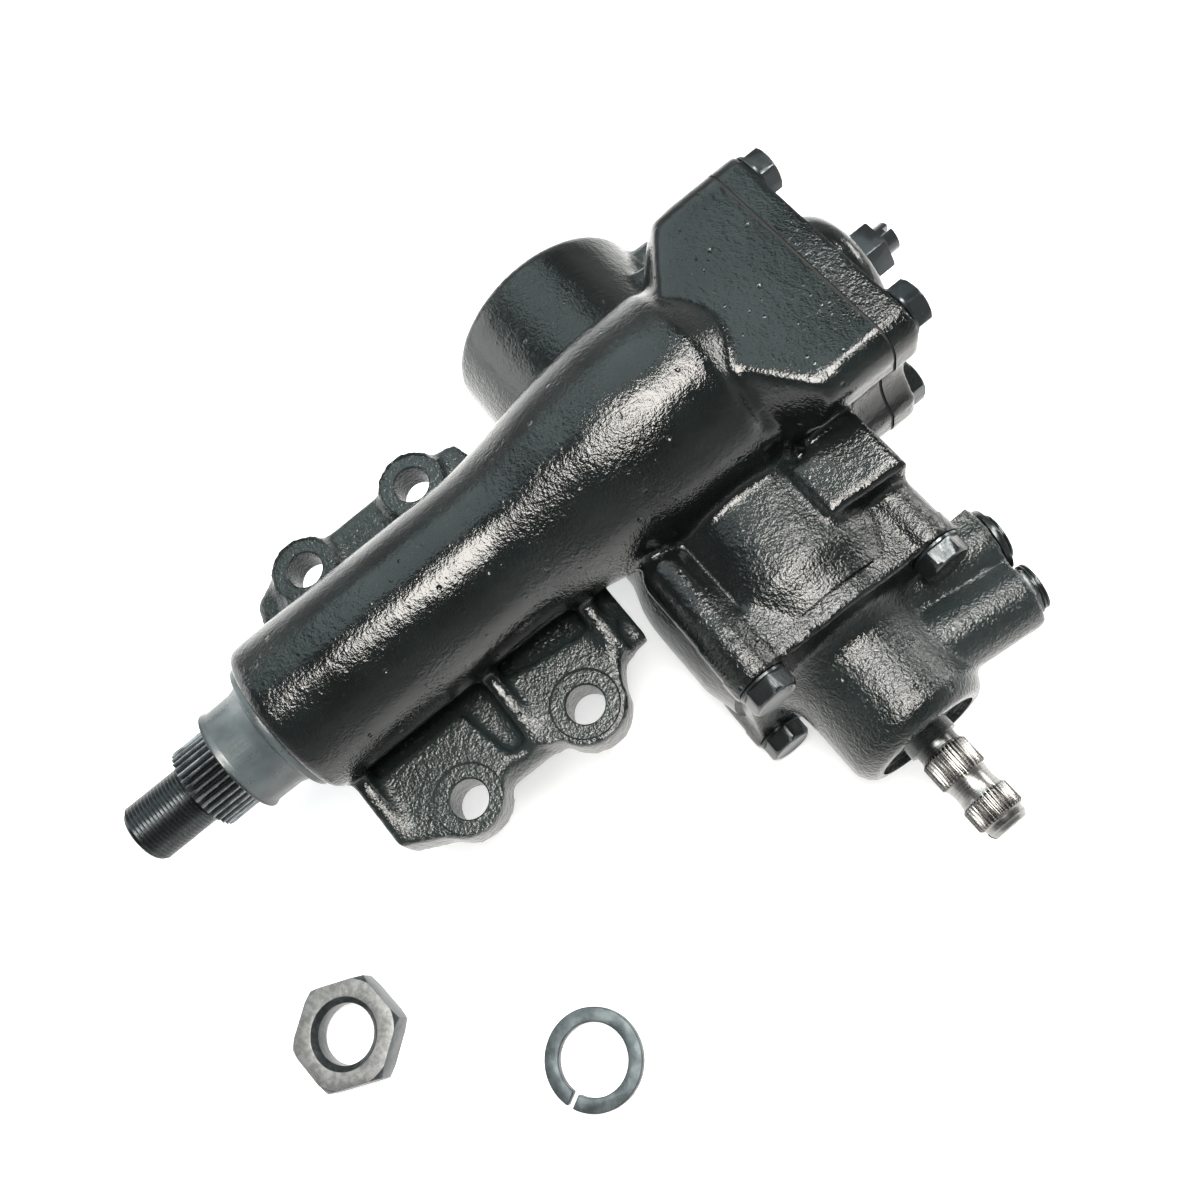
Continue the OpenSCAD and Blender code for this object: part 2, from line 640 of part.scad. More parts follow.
module bearing_cup() {
    ring(cup_out_r - seat_gap, roller_circle + roller_d / 2 + roller_gap, bearing_len);
    for (z = [0, bearing_len - 1.2]) translate([0, 0, z])
        ring(cup_out_r - seat_gap, journal_d / 2 + 0.6, 1.2);
}

module bearing_rollers() {
    count = floor(2 * PI * roller_circle / (roller_d + 0.9));
    for (i = [0 : count - 1]) rotate(i * 360 / count) translate([roller_circle, 0, 1.3])
        cylinder(d = roller_d, h = bearing_len - 2.6, $fn = 24);
}

module lower_bearing_cup() { color("#8d9396") along_y(lower_bearing_y) bearing_cup(); }
module lower_bearing_rollers() { color("#c9cdd0") along_y(lower_bearing_y) bearing_rollers(); }
module upper_bearing_cup() { color("#8d9396") along_y(upper_bearing_y) bearing_cup(); }
module upper_bearing_rollers() { color("#c9cdd0") along_y(upper_bearing_y) bearing_rollers(); }

// Lip seal in the lower end of the barrel, with its case and a lip on the journal.
module sector_oil_seal() {
    color("#2a2420") along_y(barrel_end + 2) rotate_extrude() {
        polygon([[seal_out_r - seat_gap, 0], [seal_out_r - seat_gap, seal_len], [seal_out_r - 1.6, seal_len],
            [seal_out_r - 1.6, 1.6], [journal_d / 2 + 2.2, 1.6], [journal_d / 2 + run_gap, 3.6],
            [journal_d / 2 + run_gap, 2.4], [journal_d / 2 + 1.2, 0]]);
    }
}

// Rubber dust seal: a sleeve with a flared lip, seated on the barrel end.
module dust_seal() {
    r = journal_d / 2;
    lip = [[r + 1.4, 0], [seal_out_r + 2, 0], [seal_out_r + 2, 0.11], [r + 3.6, 0.2], [r + 2.2, 0.41], [r + 2, 0.88],
        [r + 3, 0.98], [r + 2.4, 1], [r + run_gap, 0.9], [r + run_gap, 0.77], [r + 0.9, 0.68], [r + 0.9, 0.09]];
    color("#6f7b80") along_y(barrel_end) rotate_extrude() polygon([for (p = lip) [p[0], -dust_len * p[1]]]);
}

// Valve housing: flange, spigot with the worm bearing seat, body with two leaning port bosses.
module port_axis(i) {
    translate([port_xs[i], worm_reach, worm_z + port_drop]) rotate([-90, 0, -port_lean]) children();
}

module valve_housing() {
    color("#23292c") difference() {
        union() {
            along_x(joint_reach) linear_extrude(valve_flange_t) joint_2d(valve_lug_r);
            // Wall that carries the pressure port beside the flange.
            along_x(joint_reach) linear_extrude(valve_flange_t) translate([1 - port_drop - port_r, 0])
                square([2 * port_r - 2, port_ends[0] - 1]);
            along_x(spigot_x) cylinder(r = bore_r - seat_gap, h = joint_reach - spigot_x + 1);
            along_x(joint_reach) rotate_extrude() polygon(concat([[0, 0], [valve_r + 6, 0], [valve_r + 6, valve_flange_t],
                [valve_r + 1, valve_flange_t + 6]],
                [[valve_r, valve_flange_t + 14], [valve_r, valve_reach - joint_reach - 6],
                 [valve_r - 2.2, valve_reach - joint_reach - 2.2], [valve_r - 4.6, valve_reach - joint_reach],
                 [0, valve_reach - joint_reach]]));
            for (i = [0, 1]) intersection() {
                port_axis(i) translate([0, 0, 6]) cylinder(r1 = port_r + 1.5, r2 = port_r, h = port_ends[i] - 6);
                translate([joint_reach, worm_reach, worm_z - 40]) cube([80, 90, 80]);
            }
        }
        along_x(spigot_x - 1) cylinder(r = bearing_out_r, h = bearing_x + bearing_w - spigot_x + 1);
        along_x(spigot_x) cylinder(r = valve_bore / 2, h = sleeve_end - spigot_x);
        along_x(sleeve_end - 1) cylinder(r = input_journal_d / 2 + 3.6, h = input_bearing_w + 2);
        along_x(input_seal_x - 0.4) cylinder(d = input_seal_d, h = 20);
        // Groove of the joint seal ring.
        along_x(joint_reach - 12) ring(bore_r + 1, bore_r - 3.2, 4);
        along_x(joint_reach - 1) at_valve_bolts()
            cylinder(d = valve_bolt_d + 1, h = valve_flange_t + 2);
        // Spot faces that let the bolt heads sit flat beside the body.
        along_x(joint_reach + valve_flange_t) at_valve_bolts()
            cylinder(r = valve_lug_r + 0.5, h = 14);
        // Ports: tapped mouth and the drilling to the sleeve.
        for (i = [0, 1]) port_axis(i) {
            translate([0, 0, port_ends[i] - 18]) cylinder(d = port_bore, h = 19);
            translate([0, 0, 10]) cylinder(d = 7, h = port_ends[i]);
        }
    }
}

module valve_bolts() {
    color("#3a3f42") along_x(joint_reach + valve_flange_t) at_valve_bolts()
        hex_bolt(valve_bolt_d, valve_flange_t + valve_thread, bolt_head_h);
}

module housing_seal_ring() {
    color("#101213") along_x(joint_reach - 11.6) ring(bore_r - 0.15, bore_r - 3, 3.2);
}

// Angular ball bearing of the worm: outer race, balls and inner race.
bearing_circle = (bearing_out_r + worm_seat_r) / 2;

module race_groove() {
    translate([0, 0, bearing_w / 2]) rotate_extrude() translate([bearing_circle, 0])
        circle(d = bearing_ball_d + 0.16, $fn = 40);
}

module worm_bearing_outer() {
    color("#b9bec2") along_x(bearing_x) difference() {
        ring(bearing_out_r - seat_gap, bearing_circle + 2.2, bearing_w);
        race_groove();
    }
}

module worm_bearing_balls() {
    count = bearing_balls;
    color("#dfe3e6") along_x(bearing_x + bearing_w / 2) for (i = [0 : count - 1])
        rotate(i * 360 / count) translate([bearing_circle, 0, 0]) sphere(d = bearing_ball_d, $fn = 32);
}

module worm_bearing_inner() {
    color("#b9bec2") along_x(bearing_x) difference() {
        ring(bearing_circle - 2.2, worm_seat_r + seat_gap, bearing_w);
        race_groove();
    }
}

module input_bearing() {
    color("#a98d5a") along_x(input_bearing_x)
        ring(input_journal_d / 2 + 3.6 - seat_gap, input_journal_d / 2 + run_gap, input_bearing_w);
}

module input_oil_seal() {
    color("#1b1d1e") along_x(input_seal_x) rotate_extrude() polygon([
        [input_seal_d / 2 - seat_gap, 0], [input_seal_d / 2 - seat_gap, input_seal_w],
        [input_journal_d / 2 + 3, input_seal_w], [input_journal_d / 2 + run_gap, input_seal_w - 1],
        [input_journal_d / 2 + run_gap, input_seal_w - 2.2], [input_journal_d / 2 + 2.4, 0]]);
}

module input_snap_ring() {
    color("#54595c") along_x(snap_x) difference() {
        ring(input_seal_d / 2 - seat_gap, input_seal_d / 2 - 2.4, 1.2);
        translate([0, input_seal_d / 2 - 5, -1]) cube([5, 8, 4]);
    }
}

// Port unions: a threaded stub in the boss, a collar of so many flats and a ribbed end outside.
module union_body(i, collar_r, flats) {
    difference() {
        translate([0, 0, port_ends[i]]) {
            translate([0, 0, -14]) cylinder(d = port_bore - 2 * seat_gap, h = 14.5);
            cylinder(r = collar_r, h = union_out * 0.45, $fn = flats);
            cylinder(r = port_bore / 2 + 1.5, h = union_out);
            for (k = [0.55, 0.8]) translate([0, 0, union_out * k]) cylinder(r = port_bore / 2 + 2.3, h = union_out * 0.16);
        }
        translate([0, 0, port_ends[i] - 15]) cylinder(d = union_bore, h = union_out + 16);
    }
}

module pressure_union() { color("#2f3437") port_axis(0) union_body(0, collar_rs[0], 72); }
module return_union() { color("#2f3437") port_axis(1) union_body(1, collar_rs[1], 6); }

module cylinder_plug() {
    color("#3a3f42") translate([plug_at[0], worm_reach + cup_r + 9, plug_at[1]]) rotate([-90, 0, 0])
        hex_bolt(plug_d, 22, 5);
}

module relief_plug() {
    color("#3a3f42") translate([relief_at[0], relief_face, relief_at[1]]) rotate([-90, 0, 0])
        hex_bolt(relief_d, 15, 6);
}

// Sector shaft: thread, spline, journals, three sector teeth and the slot of the adjuster head.
module sector_shaft() {
    spline_y = thread_len - tip_reach;
    spline_end = spline_y + spline_len;
    gear_y = worm_reach - sector_face / 2;
    neck_y0 = worm_reach - bore_r - 1;
    top = cover_reach - 2;
    head_slot = adjuster_d / 2 + 3 + 0.25;
    color("#7d8387") difference() {
        union() {
            along_y(-tip_reach) cylinder(r1 = thread_d / 2 - 1.5, r2 = thread_d / 2, h = 1.5);
            along_y(-tip_reach + 1.5) cylinder(d = thread_d, h = thread_len - 1.4);
            along_y(spline_y) linear_extrude(spline_len) spline_2d(spline_d, spline_teeth, 1.3);
            along_y(spline_end) cylinder(d = journal_d, h = neck_y0 - spline_end);
            along_y(neck_y0 - 0.1) cylinder(d = neck_d, h = top - neck_y0 + 0.1);
            along_y(gear_y) linear_extrude(sector_face) for (k = [-1, 0, 1])
                rotate(k * 360 / full_teeth + 180) sector_tooth_2d();
        }
        // T slot for the adjuster head, open across the shaft.
        along_y(cover_reach - 8 - 0.25) translate([-journal_d, -head_slot, 0]) cube([2 * journal_d, 2 * head_slot, 4.5]);
        along_y(cover_reach - 8) translate([-journal_d, -adjuster_d / 2 - 0.3, 0])
            cube([2 * journal_d, adjuster_d + 0.6, 12]);
    }
}

// Piston with the rack cut across it, the ball nut bore and the ring groove.
module rack_piston() {
    tooth_half = rack_pitch / 4 - backlash / 4;
    slope = tan(pressure_angle);
    color("#858b8f") difference() {
        union() {
            difference() {
                along_x(-piston_left) rotate_extrude() polygon([[0, 0], [piston_r - 1.5, 0], [piston_r, 1.5],
                    [piston_r, piston_left + piston_right - 1.5], [piston_r - 1.5, piston_left + piston_right],
                    [0, piston_left + piston_right]]);
                translate([-rack_half, worm_reach - bore_r, worm_z + rack_root])
                    cube([2 * rack_half, 2 * bore_r, bore_r]);
            }
            // Straight rack teeth, square to the worm axis.
            intersection() {
                for (k = [0 : rack_teeth - 1])
                    translate([(k - (rack_teeth - 1) / 2) * rack_pitch, worm_reach, worm_z + rack_line]) rotate([90, 0, 0])
                        linear_extrude(sector_face + 8, center = true) polygon([
                            [-tooth_half - (rack_line - rack_root) * slope, rack_root - rack_line - 0.5],
                            [-tooth_half - (rack_line - rack_root) * slope, rack_root - rack_line],
                            [-tooth_half + (rack_tip - rack_line) * slope, rack_tip - rack_line],
                            [tooth_half - (rack_tip - rack_line) * slope, rack_tip - rack_line],
                            [tooth_half + (rack_line - rack_root) * slope, rack_root - rack_line],
                            [tooth_half + (rack_line - rack_root) * slope, rack_root - rack_line - 0.5]]);
                along_x(-piston_left) cylinder(r = piston_r, h = piston_left + piston_right);
            }
        }
        along_x(piston_hole_end) cylinder(r = nut_bore_r + 0.8, h = piston_right - piston_hole_end + 1);
        along_x(nut_x) cylinder(r = nut_r, h = piston_right - nut_x + 1);
        along_x(-piston_left + 8) ring(piston_r + 1, piston_r - 3, 4);
    }
}

module piston_ring() {
    color("#3b2f28") along_x(-piston_left + 8.2) ring(bore_r - 0.06, piston_r - 2.6, 3.6);
}

// Ball nut: helical ball groove inside a sleeve that sits in the piston.
module ball_nut() {
    color("#9aa0a4") along_x(nut_x) rotate(nut_x / lead * 360)
        linear_extrude(nut_len, twist = -nut_len / lead * 360, slices = ceil(nut_len / lead * 24), $fn = 20) difference() {
            circle(r = nut_r - seat_gap);
            nut_bore_2d();
        }
}

// Threaded ring that holds the nut in the piston.
module nut_lock_ring() {
    color("#54595c") along_x(nut_x + nut_len) ring(nut_r - seat_gap, nut_bore_r + 0.8, piston_right - nut_x - nut_len);
}

// Balls on the helix between worm and nut.
module recirculating_balls() {
    step = (ball_d + 0.5) / ball_circle_r * 180 / PI;
    count = floor(ball_turns * 360 / step);
    start = nut_x + nut_len / 2 - ball_turns * lead / 2;
    color("#e4e8ea") for (i = [0 : count - 1])
        let (a = i * step + start / lead * 360, x = start + i * step / 360 * lead)
            along_x(x) rotate(a) translate([ball_circle_r, 0, 0]) sphere(d = ball_d, $fn = 32);
}

// Worm: helical ball groove, bearing seat and the head that drives the valve sleeve.
module worm_shaft() {
    len = thread_x1 - thread_x0;
    head_x = bearing_x + bearing_w;
    color("#8f969a") difference() {
        union() {
            along_x(thread_x0) rotate(thread_x0 / lead * 360)
                linear_extrude(len, twist = -len / lead * 360, slices = ceil(len / lead * 24), $fn = 20) worm_2d();
            along_x(thread_x0 - 2) cylinder(r = worm_core_r - 0.2, h = len + 4);
            along_x(thread_x1 - 0.2) cylinder(r = worm_major_r - 0.4, h = bearing_x - thread_x1 + 0.3);
            along_x(bearing_x - 3) cylinder(r = worm_seat_r + 2, h = 3);
            along_x(bearing_x - 0.1) cylinder(r = worm_seat_r, h = bearing_w + 0.2);
            along_x(head_x) cylinder(r = worm_seat_r, h = sleeve_x - head_x);
        }
        // Blind bore for the torsion bar, the pilot of the input shaft and the cross hole of the pin.
        along_x(head_x - 10) cylinder(r = torsion_d / 2 + run_gap, h = 40);
        along_x(sleeve_x - 3) cylinder(r = 8 + run_gap, h = 10);
        along_x(head_x - 4) rotate([90, 0, 0]) cylinder(r = 1.5 + seat_gap, h = 60, center = true);
    }
}

module worm_lock_nut() {
    head_x = bearing_x + bearing_w;
    color("#5a6063") along_x(head_x) ring(valve_bore / 2 - 1.2, worm_seat_r + seat_gap, 5.5);
}

// Valve sleeve: three ported grooves between seal lands.
module valve_sleeve() {
    l = sleeve_end - sleeve_x - 1;
    r = valve_bore / 2 - 0.3;
    lands = [0.03, 0.32, 0.61, 0.9];
    color("#aab0b4") difference() {
        along_x(sleeve_x) rotate_extrude() polygon(concat([[sleeve_bore_r, 0], [r, 0]],
            [for (k = [0 : 2], p = [[lands[k] + 0.09, 0], [lands[k] + 0.09, 1], [lands[k + 1] - 0.02, 1], [lands[k + 1] - 0.02, 0]])
                [r - p[1] * 1.8, p[0] * l]],
            [[r, l], [sleeve_bore_r, l]]));
        for (k = [0 : 3]) along_x(sleeve_x + lands[k] * l) ring(r + 1, r - 1.4, 2);
        for (k = [0 : 2], a = [0 : 90 : 270])
            along_x(sleeve_x + (lands[k] + 0.2) * l) rotate(a + k * 30) rotate([0, 90, 0]) cylinder(r = 1.6, h = r + 2);
    }
}

module sleeve_seal_rings() {
    l = sleeve_end - sleeve_x - 1;
    r = valve_bore / 2 - 0.3;
    color("#d9d3c4") for (k = [0.03, 0.32, 0.61, 0.9])
        along_x(sleeve_x + k * l + 0.1) ring(valve_bore / 2 - 0.06, r - 1.2, 1.8);
}

module torsion_bar_pin() {
    color("#c2c7ca") along_x(bearing_x + bearing_w - 4) rotate([90, 0, 0])
        cylinder(r = 1.5, h = 2 * worm_seat_r - 0.4, center = true);
}

// Input shaft: rotor with valve slots inside, two splined lengths with a waist outside.
// Half profile of a hollow turned between two places along the shaft.
function hollow(from, to, low, high) =
    [for (t = [-1 : 0.25 : 1]) [low + (high - low) * t * t, (from + to) / 2 + t * (to - from) / 2]];

module input_shaft() {
    rotor_x = sleeve_x + 1;
    root_r = input_spline_d / 2 - 1;
    color("#b4b9bc") difference() {
        union() {
            along_x(sleeve_x - 2.6) cylinder(r = 8, h = 5);
            along_x(rotor_x) cylinder(r = sleeve_bore_r - run_gap, h = sleeve_end - rotor_x - 1);
            along_x(sleeve_end - 1.1) cylinder(d = input_journal_d, h = valve_reach + 3 - sleeve_end + 1.1);
            // Neck and waist, turned hollow between the splines.
            along_x(0) rotate_extrude() polygon(concat([[0, valve_reach + 2.9]],
                hollow(valve_reach + 2.9, spline_a[0], input_waist_d / 2 + 0.2, root_r),
                hollow(spline_a[1], spline_b[0], input_waist_d / 2, root_r),
                [[root_r, spline_b[1]], [input_waist_d / 2, spline_b[1] + 0.6], [input_waist_d / 2, input_end - 1.9],
                 [0, input_end - 1.9]]));
            for (s = [spline_a, spline_b]) along_x(s[0]) intersection() {
                linear_extrude(s[1] - s[0]) spline_2d(input_spline_d, input_teeth, 1);
                rotate_extrude() polygon([[0, 0], [root_r, 0], [root_r + 1.1, 0.9], [root_r + 1.1, s[1] - s[0] - 0.9],
                    [root_r, s[1] - s[0]], [0, s[1] - s[0]]]);
            }
            along_x(input_end - 2) cylinder(r1 = input_waist_d / 2, r2 = input_waist_d / 2 - 1.2, h = 2);
        }
        along_x(sleeve_x - 4) cylinder(r = torsion_d / 2 + run_gap, h = input_end - sleeve_x - 10);
        // Six valve slots round the rotor.
        for (a = [0 : 60 : 300]) along_x(rotor_x + 5) rotate(a)
            translate([sleeve_bore_r - 1.2, -1.6, 0]) cube([4, 3.2, sleeve_end - rotor_x - 12]);
        // Slot across the outer end.
        along_x(input_end - 3) translate([-1.2, -input_waist_d, 0]) cube([2.4, 2 * input_waist_d, 6]);
    }
}

module torsion_bar() {
    x0 = bearing_x + bearing_w - 9;
    color("#6d7376") difference() {
        along_x(x0) cylinder(d = torsion_d, h = input_end - 14.2 - x0);
        along_x(bearing_x + bearing_w - 4) rotate([90, 0, 0]) cylinder(r = 1.9, h = 20, center = true);
    }
}

// Drop arm nut and split washer, taken off and lying beside the gearbox.

module drop_arm_nut() {
    color("#3d4245") translate([nut_place[0], nut_place[1], ground_z]) rotate(8) difference() {
        hex_nut(arm_nut_af, arm_nut_h, thread_d / 2 + seat_gap);
        // Countersinks of the two faces.
        translate([0, 0, arm_nut_h - 2.5]) cylinder(r1 = thread_d / 2, r2 = thread_d / 2 + 2.6, h = 2.6);
        translate([0, 0, -0.1]) cylinder(r1 = thread_d / 2 + 2.6, r2 = thread_d / 2, h = 2.6);
    }
}

module lock_washer() {
    color("#4b5357") translate([washer_place[0], washer_place[1], ground_z]) rotate(-75) difference() {
        ring(washer_d / 2, thread_d / 2 + 2, washer_t);
        translate([thread_d / 2 - 3, 0, -1]) rotate([0, 0, 12]) cube([washer_d / 2, 2.2, washer_t + 2]);
    }
}

gear_housing();
sector_cover();
cover_gasket();
cover_bolts();
adjusting_screw();
adjuster_lock_nut();
cover_bush();
lower_bearing_cup();
lower_bearing_rollers();
upper_bearing_cup();
upper_bearing_rollers();
sector_oil_seal();
dust_seal();
valve_housing();
valve_bolts();
housing_seal_ring();
worm_bearing_outer();
worm_bearing_balls();
worm_bearing_inner();
input_bearing();
input_oil_seal();
input_snap_ring();
pressure_union();
return_union();
cylinder_plug();
relief_plug();
sector_shaft();
rack_piston();
piston_ring();
ball_nut();
nut_lock_ring();
recirculating_balls();
worm_shaft();
worm_lock_nut();
valve_sleeve();
sleeve_seal_rings();
torsion_bar_pin();
input_shaft();
torsion_bar();
drop_arm_nut();
lock_washer();
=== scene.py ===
"""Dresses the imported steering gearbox: painted castings, shafts, seals, fasteners and the studio."""

import json
import math

import bmesh
import bpy
import numpy as np
from mathutils import Euler, Matrix, Vector, noise


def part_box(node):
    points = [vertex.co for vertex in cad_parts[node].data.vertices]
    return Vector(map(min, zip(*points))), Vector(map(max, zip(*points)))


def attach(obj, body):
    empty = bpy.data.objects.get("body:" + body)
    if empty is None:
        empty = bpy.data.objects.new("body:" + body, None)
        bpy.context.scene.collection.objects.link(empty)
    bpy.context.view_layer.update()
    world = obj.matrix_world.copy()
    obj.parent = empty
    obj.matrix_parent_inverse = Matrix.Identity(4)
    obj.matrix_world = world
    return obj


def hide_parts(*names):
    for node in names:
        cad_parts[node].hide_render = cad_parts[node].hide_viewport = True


bl_info = {
    "name": "Steering gearbox",
    "version": (1, 0, 0),
    "blender": (4, 5, 0),
    "location": "View3D > Sidebar > Gearbox",
    "description": "Builds the look of a recirculating-ball steering gearbox round its solids",
    "category": "Object",
}

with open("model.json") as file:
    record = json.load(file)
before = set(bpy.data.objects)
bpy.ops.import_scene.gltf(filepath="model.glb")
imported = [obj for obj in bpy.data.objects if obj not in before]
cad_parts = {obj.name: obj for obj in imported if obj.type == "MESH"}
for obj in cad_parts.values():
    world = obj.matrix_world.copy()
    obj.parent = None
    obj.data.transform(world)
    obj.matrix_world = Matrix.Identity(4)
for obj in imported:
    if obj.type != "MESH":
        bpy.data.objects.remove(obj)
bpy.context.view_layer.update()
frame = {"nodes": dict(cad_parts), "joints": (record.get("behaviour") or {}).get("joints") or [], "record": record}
NODES = frame["nodes"]
BODIES = frame["record"]["behaviour"]["bodies"]
BODY_OF = {node: body for body, members in BODIES.items() for node in members}
SLOT_OF = {entry["node"]: entry["material_slot"] for entry in frame["record"]["subparts"]}
MM = 0.001

# Axes of the two shafts, from the joints.
JOINTS = {joint["name"]: joint for joint in frame["joints"]}
SECTOR_Z = JOINTS["sector_swing"]["pos_m"][2]
WORM_Y, WORM_Z = JOINTS["worm_turn"]["pos_m"][1:]
MOUNTS = {mount["name"]: mount for mount in frame["record"]["mounts"]}
BOLTS = MOUNTS["frame_bolts"]["dims"]
SECTOR_AXIS = (0, 0, SECTOR_Z)
WORM_AXIS = (0, WORM_Y, WORM_Z)
FLOOR_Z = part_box("drop_arm_nut")[0].z

# Ears of the gear housing: top, and size of the spot faces round the bolt holes.
EAR_TOP = 16 * MM
SPOT_R = 13 * MM
SPOT_DEPTH = 1.2 * MM


def settings():
    """The scene, which holds the settings."""
    return bpy.context.scene


# Settings that a user would change.
def colour_setting(name, description, default):
    """A colour that a user may change."""
    return bpy.props.FloatVectorProperty(
        name=name, description=description, subtype="COLOR", size=3, default=default, min=0, max=1)


def length_setting(name, description, default, low, high):
    """A length that a user may change, in millimetres."""
    return bpy.props.FloatProperty(
        name=name, description=description, unit="LENGTH",
        default=default * MM, min=low * MM, max=high * MM)


class PaintSettings(bpy.types.PropertyGroup):
    """Paint and cast skin of the housings."""

    colour: colour_setting("Paint colour", "Colour of the paint on the castings", (0.0042, 0.0054, 0.0054))
    # The tint is the paint's lighter tone in random patches, and is also laid on the ears as a painted sheen for
    # the light they reflect.
    tint_and_sheen: colour_setting("Paint tint", "Colour of the paint where it lies thin", (0.0095, 0.0128, 0.0128))
    gloss: bpy.props.FloatProperty(
        name="Roughness", description="Roughness of the paint", subtype="FACTOR",
        default=0.06, min=0.02, max=1)
    lump: length_setting("Lump height", "Height of the lumps in the cast skin", 0.06, 0, 2)
    fillet: length_setting("Fillet", "How far the corners of a casting run into each other", 1.5, 0.5, 6)


class ShaftSettings(bpy.types.PropertyGroup):
    """Threads and steel of the shafts."""

    thread_pitch: length_setting("Arm thread pitch", "Pitch of the drop arm thread", 1.5, 0.5, 4)
    dark: colour_setting("Dark steel", "Colour of the phosphated steel", (0.085, 0.094, 0.098))
    bright: colour_setting("Bright steel", "Colour of the turned steel", (0.3, 0.297, 0.288))


class SealSettings(bpy.types.PropertyGroup):
    """Rubber pieces."""

    dust: colour_setting("Dust seal colour", "Colour of the dust seal", (0.055, 0.068, 0.072))


class StageSettings(bpy.types.PropertyGroup):
    """Studio round the gearbox."""

    floor: colour_setting("Floor colour", "Colour of the floor", (0.9, 0.9, 0.9))
    world: bpy.props.FloatProperty(
        name="Room light", description="Strength of the even light from all round",
        default=0.12, min=0, max=4)


# Shader maths: one wrapper for sockets, one method for nodes.
class Wire:
    """A shader value that can stand in sums, differences and products."""

    def __init__(self, kit, socket):
        self.kit = kit
        self.socket = socket

    def _join(self, operation, first, second):
        return self.kit.node("ShaderNodeMath", {"operation": operation}, {0: first, 1: second})

    def __add__(self, other):
        return self._join("ADD", self, other)

    def __radd__(self, other):
        return self._join("ADD", other, self)

    def __sub__(self, other):
        return self._join("SUBTRACT", self, other)

    def __rsub__(self, other):
        return self._join("SUBTRACT", other, self)

    def __mul__(self, other):
        return self._join("MULTIPLY", self, other)

    def __rmul__(self, other):
        return self._join("MULTIPLY", other, self)


class Finish:
    """One material and the nodes that make it."""

    def __init__(self, name):
        self.material = bpy.data.materials.new(name)
        self.material.use_nodes = True
        self.tree = self.material.node_tree
        self.tree.nodes.clear()
        self.shader = self.tree.nodes.new("ShaderNodeBsdfPrincipled")
        self.output = self.tree.nodes.new("ShaderNodeOutputMaterial")
        self.tree.links.new(self.shader.outputs[0], self.output.inputs["Surface"])
        self.place = self.node("ShaderNodeTexCoord", out="Object")

    def node(self, kind, options=None, inputs=None, out=0):
        """Adds any node: its options first, then the values or links of its sockets."""
        made = self.tree.nodes.new(kind)
        for key, value in (options or {}).items():
            setattr(made, key, value)
        for key, value in (inputs or {}).items():
            self.plug(made.inputs[key], value)
        return Wire(self, made.outputs[out])

    def plug(self, socket, value):
        """Links a wire to a socket, or sets the socket's own value."""
        if isinstance(value, Wire):
            self.tree.links.new(value.socket, socket)
        else:
            socket.default_value = value

    def noise(self, scale, detail=2.0, rough=0.5, place=None):
        """Noise of so many waves in a metre."""
        return self.node("ShaderNodeTexNoise", None, {
            "Vector": place or self.place, "Scale": scale, "Detail": detail, "Roughness": rough})

    def cells(self, scale, near, far, low, high):
        """Round spots of so many cells in a metre, in the cells whose random colour is bright enough."""
        inputs = {"Vector": self.place, "Scale": scale}
        distance = self.node("ShaderNodeTexVoronoi", {"feature": "F1"}, inputs, "Distance")
        chosen = self.node("ShaderNodeTexVoronoi", {"feature": "F1"}, inputs, "Color")
        return (1 - self.step(distance, near, far)) * self.step(chosen, low, high)

    def step(self, value, low, high):
        """Runs smoothly from 0 at low to 1 at high."""
        return self.node("ShaderNodeMapRange", {"interpolation_type": "SMOOTHSTEP"}, {
            "Value": value, "From Min": low, "From Max": high})

    def mix(self, factor, first, second):
        """Mixes two colours, each a wire or three numbers."""
        first, second = (value if isinstance(value, Wire) else (*value, 1) for value in (first, second))
        return self.node("ShaderNodeMix", {"data_type": "RGBA"}, {0: factor, 6: first, 7: second}, 2)

    def stretched(self, scale):
        """Object coordinates stretched by a factor along each axis."""
        return self.node("ShaderNodeMapping", None, {"Vector": self.place, "Scale": scale})

    def reach(self, centre, axis):
        """Distance from an axis through a point."""
        across = [1.0, 1.0, 1.0]
        across[axis] = 0.0
        offset = self.node("ShaderNodeVectorMath", {"operation": "SUBTRACT"}, {0: self.place, 1: centre})
        flat = self.node("ShaderNodeVectorMath", {"operation": "MULTIPLY"}, {0: offset, 1: across})
        return self.node("ShaderNodeVectorMath", {"operation": "LENGTH"}, {0: flat}, "Value")

    def along(self, axis):
        """Place along an axis."""
        return self.node("ShaderNodeSeparateXYZ", None, {"Vector": self.place}, "XYZ"[axis])

    def bump(self, height, distance):
        """A bump of so many metres."""
        inputs = {"Height": height, "Distance": distance, "Strength": 1.0}
        return self.node("ShaderNodeBump", None, inputs)

    def set(self, **sockets):
        """Sets the shader's sockets by their plain names."""
        for key, value in sockets.items():
            socket = self.shader.inputs[key.replace("_", " ")]
            if not isinstance(value, Wire) and socket.type == "RGBA":
                value = (*value, 1)
            self.plug(socket, value)
        return self.material

    def metal(self, colour, pattern, rough, spread, metallic, depth):
        """Sets a finish whose roughness and bump, in millimetres, follow one pattern."""
        return self.set(Base_Color=colour, Roughness=rough + spread * pattern, Metallic=metallic,
                        Normal=self.bump(pattern, depth * MM))


def shade(colour, factor):
    """A colour made darker or lighter by a factor."""
    return tuple(part * factor for part in colour)


# Finishes. The valve end is sandier than the rest, and the end towards the cover is finer.
VALVE_END = (45 * MM, 80 * MM)
FINE_START = 60 * MM
FINE_FULL = 40 * MM


